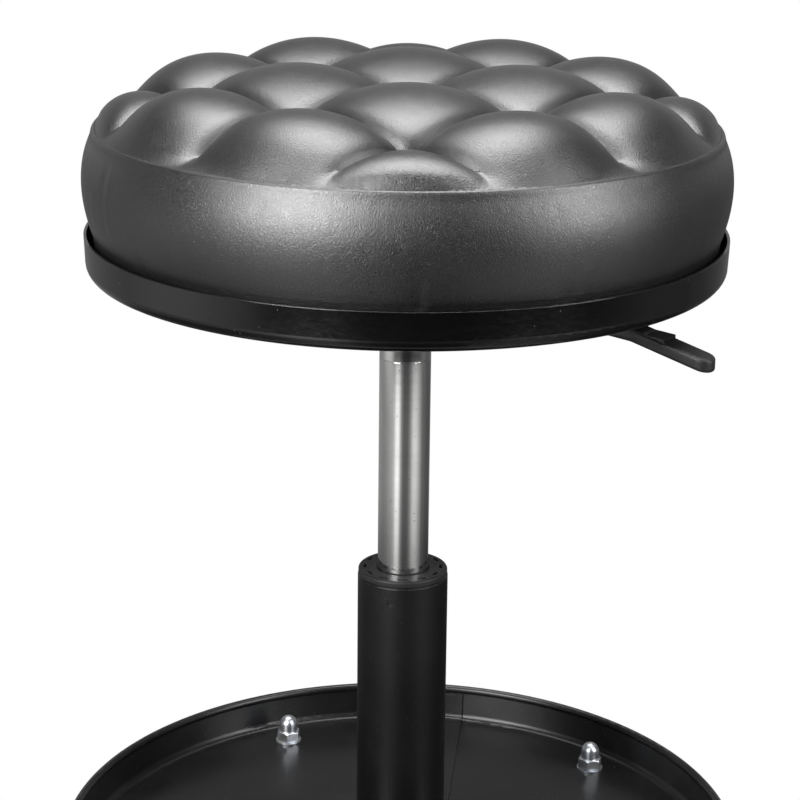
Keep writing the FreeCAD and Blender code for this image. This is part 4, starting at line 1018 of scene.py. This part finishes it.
@dataclass
class Studio:
    """The pale floor, the white background, the lamps and the camera. Lengths are metres."""

    lens: float = 104.393
    sensor: float = 36.0
    tilt: float = 0.306
    roll: float = 0.011
    stand: Colour = (-0.0026, -1.2, 0.7469)
    sight: Span = (0.05, 50.0)
    floor_half: float = 6.0
    floor_drop: float = 0.0002
    shadow_reach: Span = (0.20, 0.30)
    # The floor's painted glow in reflections: painted shade dims it near the stool out to mirror_near's
    # reach, down to the share given below, and its near strips give way to its far ones over mirror_far.
    mirror_near: Span = (0.62, 0.94)
    mirror_far: Span = (1.28, 1.37)
    painted_shade_under_stool: float = 0.3
    fill: float = 0.40
    back_glow: float = 0.42
    left_glow: float = 0.12
    dark_glow: float = 0.04

    def floor(self) -> None:
        """A wide floor that keeps the shadow near the stool and is white further out, and that shows a
        painted glow in reflections.
        """
        mesh = bmesh.new()
        bmesh.ops.create_grid(mesh, x_segments=8, y_segments=8, size=self.floor_half)
        data = bpy.data.meshes.new("studio_floor")
        mesh.to_mesh(data)
        mesh.free()
        thing = placed("studio_floor", data)
        thing.location.z = -self.floor_drop
        paint = Paint("pale_floor", base_color=(0.82, 0.82, 0.82), roughness=0.85, specular_ior_level=0.2)
        away = paint.radius().rise(*self.shadow_reach)
        seen = self.seen(paint)
        mirrored = paint.node("LightPath", output="Is Glossy Ray")
        # Painted glow: in reflections the floor glows in strips that stand in for the lamps.
        dimmed = 1.0 - mirrored * (1.0 - self.mirrored_floor(paint))
        glow = paint.node("Emission", None, {"Color": WHITE, "Strength": dimmed})
        plain = Signal(paint, paint.shader.outputs[0])
        mixed = paint.node("MixShader", None, {0: away * seen, 1: plain, 2: glow})
        paint.tree.links.new(mixed.socket, paint.tree.nodes["Material Output"].inputs["Surface"])
        data.materials.append(paint.material)

    def mirrored_floor(self, paint: Paint) -> Signal:
        """The floor's painted glow in the stool's reflections, by its direction from the column: its bright
        strips stand in for the lamps, and painted shade dims it near the stool.
        """
        turn = paint.maths("ARCTAN2", paint.axis("X"), paint.axis("Y") * -1.0) / math.tau + 0.5
        near, far = (paint.node("ValToRGB",
                                {"stops": tuple(((angle + 180) / 360, (glow,) * 3) for angle, glow in table)},
                                {"Fac": turn}) for table in (NEAR_FLOOR_PAINTED_GLOW, FAR_FLOOR_PAINTED_GLOW))
        distance = paint.radius()
        # Painted shade: the floor's glow in reflections is dimmed near the stool.
        lit = distance.rise(*self.mirror_near) * (1.0 - self.painted_shade_under_stool) + self.painted_shade_under_stool
        return paint.blend(distance.rise(*self.mirror_far), near * lit, far)

    @staticmethod
    def seen(graph: Graph) -> Signal:
        """1 for rays of the camera and those that metal and glass send on, and 0 for the light's own."""
        rays = graph.node("LightPath", output="Is Camera Ray")
        glossy, through = (Signal(graph, rays.socket.node.outputs[key])
                           for key in ("Is Glossy Ray", "Is Transmission Ray"))
        return graph.maths("MINIMUM", rays + glossy + through, 1.0)

    def world(self) -> None:
        """White where it is seen, with the darker studio in reflections, and a soft grey fill.

        The glow's levels are parts of the ray's direction along each axis.
        """
        world = bpy.data.worlds.new("studio")
        world.use_nodes = True
        bpy.context.scene.world = world
        graph = Graph(world.node_tree)
        fill = graph.tree.nodes["Background"]
        fill.inputs["Color"].default_value = (*WHITE, 1.0)
        fill.inputs["Strength"].default_value = self.fill
        way = graph.node("TexCoord", output="Generated")
        parts = graph.node("SeparateXYZ", None, {0: way}).socket.node
        x, y, z = (Signal(graph, parts.outputs[key]) for key in "XYZ")
        low = z.rise(0.80, 0.1)
        back = y.rise(0.1, 0.9) * low
        left = x.rise(-0.2, -0.9) * low
        shine = back * self.back_glow + left * self.left_glow + self.dark_glow
        ray = graph.node("LightPath", output="Is Glossy Ray")
        glossy, white = (graph.node("Background", None, {"Color": WHITE, "Strength": strength})
                         for strength in (shine, 1.0))
        bright = graph.node("MixShader", None, {0: ray, 1: white, 2: glossy})
        dim = Signal(graph, fill.outputs[0])
        mixed = graph.node("MixShader", None, {0: self.seen(graph), 1: dim, 2: bright})
        graph.tree.links.new(mixed.socket, graph.tree.nodes["World Output"].inputs["Surface"])

    def camera(self) -> None:
        """The camera at the photograph's viewing angle."""
        turn = Matrix.Rotation(math.pi / 2 - self.tilt, 4, "X") @ Matrix.Rotation(self.roll, 4, "Z")
        data = bpy.data.cameras.new("photo_camera")
        data.lens, data.sensor_width = self.lens, self.sensor
        data.clip_start, data.clip_end = self.sight
        thing = placed("photo_camera", data)
        thing.matrix_world = Matrix.Translation(self.stand) @ turn
        bpy.context.scene.camera = thing

    def build(self) -> None:
        """Sets up the whole studio."""
        bpy.context.scene.view_settings.view_transform = "Standard"
        self.floor()
        self.world()
        self.camera()
        for lamp in LAMPS:
            lamp.build()


# The floor's painted glow in reflections, whose bright strips stand in for the lamps, as (direction in
# degrees, 0 towards the camera; brightness).
NEAR_FLOOR_PAINTED_GLOW = (
    (-180, 0.35), (-104, 0.25), (-84, 0.30), (-58, 0.46), (-46, 0.66), (-37, 1.25), (-26, 1.25), (-16, 0.42),
    (-7, 0.17), (0, 0.13), (16, 0.14), (28, 0.36), (40, 0.80), (54, 0.82), (70, 0.46), (86, 0.16),
    (112, 0.10), (140, 0.08), (180, 0.35))
FAR_FLOOR_PAINTED_GLOW = (
    (-180, 0.20), (-144, 0.22), (-110, 0.30), (-90, 0.55), (-76, 0.62), (-60, 0.45), (-48, 0.12),
    (-36, 0.01), (50, 0.01), (70, 0.06), (86, 0.14), (98, 0.14), (112, 0.10), (144, 0.14), (180, 0.20))

LAMPS = (
    Lamp("overhead_lamp", (0.0, 0.05, 2.10), 1.2, 1.0, 16.0, (0.0, 0.05, 0.5)),
    Lamp("left_lamp", (-0.99, -1.18, 1.10), 0.6, 1.3, 6.5),
    Lamp("right_lamp", (1.34, -0.84, 1.10), 0.6, 1.3, 4.5),
    Lamp("overhead_shine", (0.0, 0.28, 2.05), 1.5, 1.6, 29.0, (0.0, 0.30, 0.5), gloss_only=True),
    Lamp("left_shine", (-0.92, -1.21, 1.10), 0.80, 1.45, 37.0, gloss_only=True),
    Lamp("right_shine", (1.35, -0.78, 1.04), 0.7, 1.4, 16.0, gloss_only=True),
)


def main() -> None:
    """Builds and dresses the stool piece by piece, then the studio."""
    logging.basicConfig(level=logging.INFO, format="%(name)s: %(message)s")
    PressedAndTurnedParts(SPECIAL_FINISHES).dress()
    cushion = Cushion()
    for thing in (cushion.build(), cushion.core(), DomeNuts().build()):
        LOG.info("%s: %d faces", thing.name, len(thing.data.polygons))
    Studio().build()


if __name__ == "__main__":
    main()
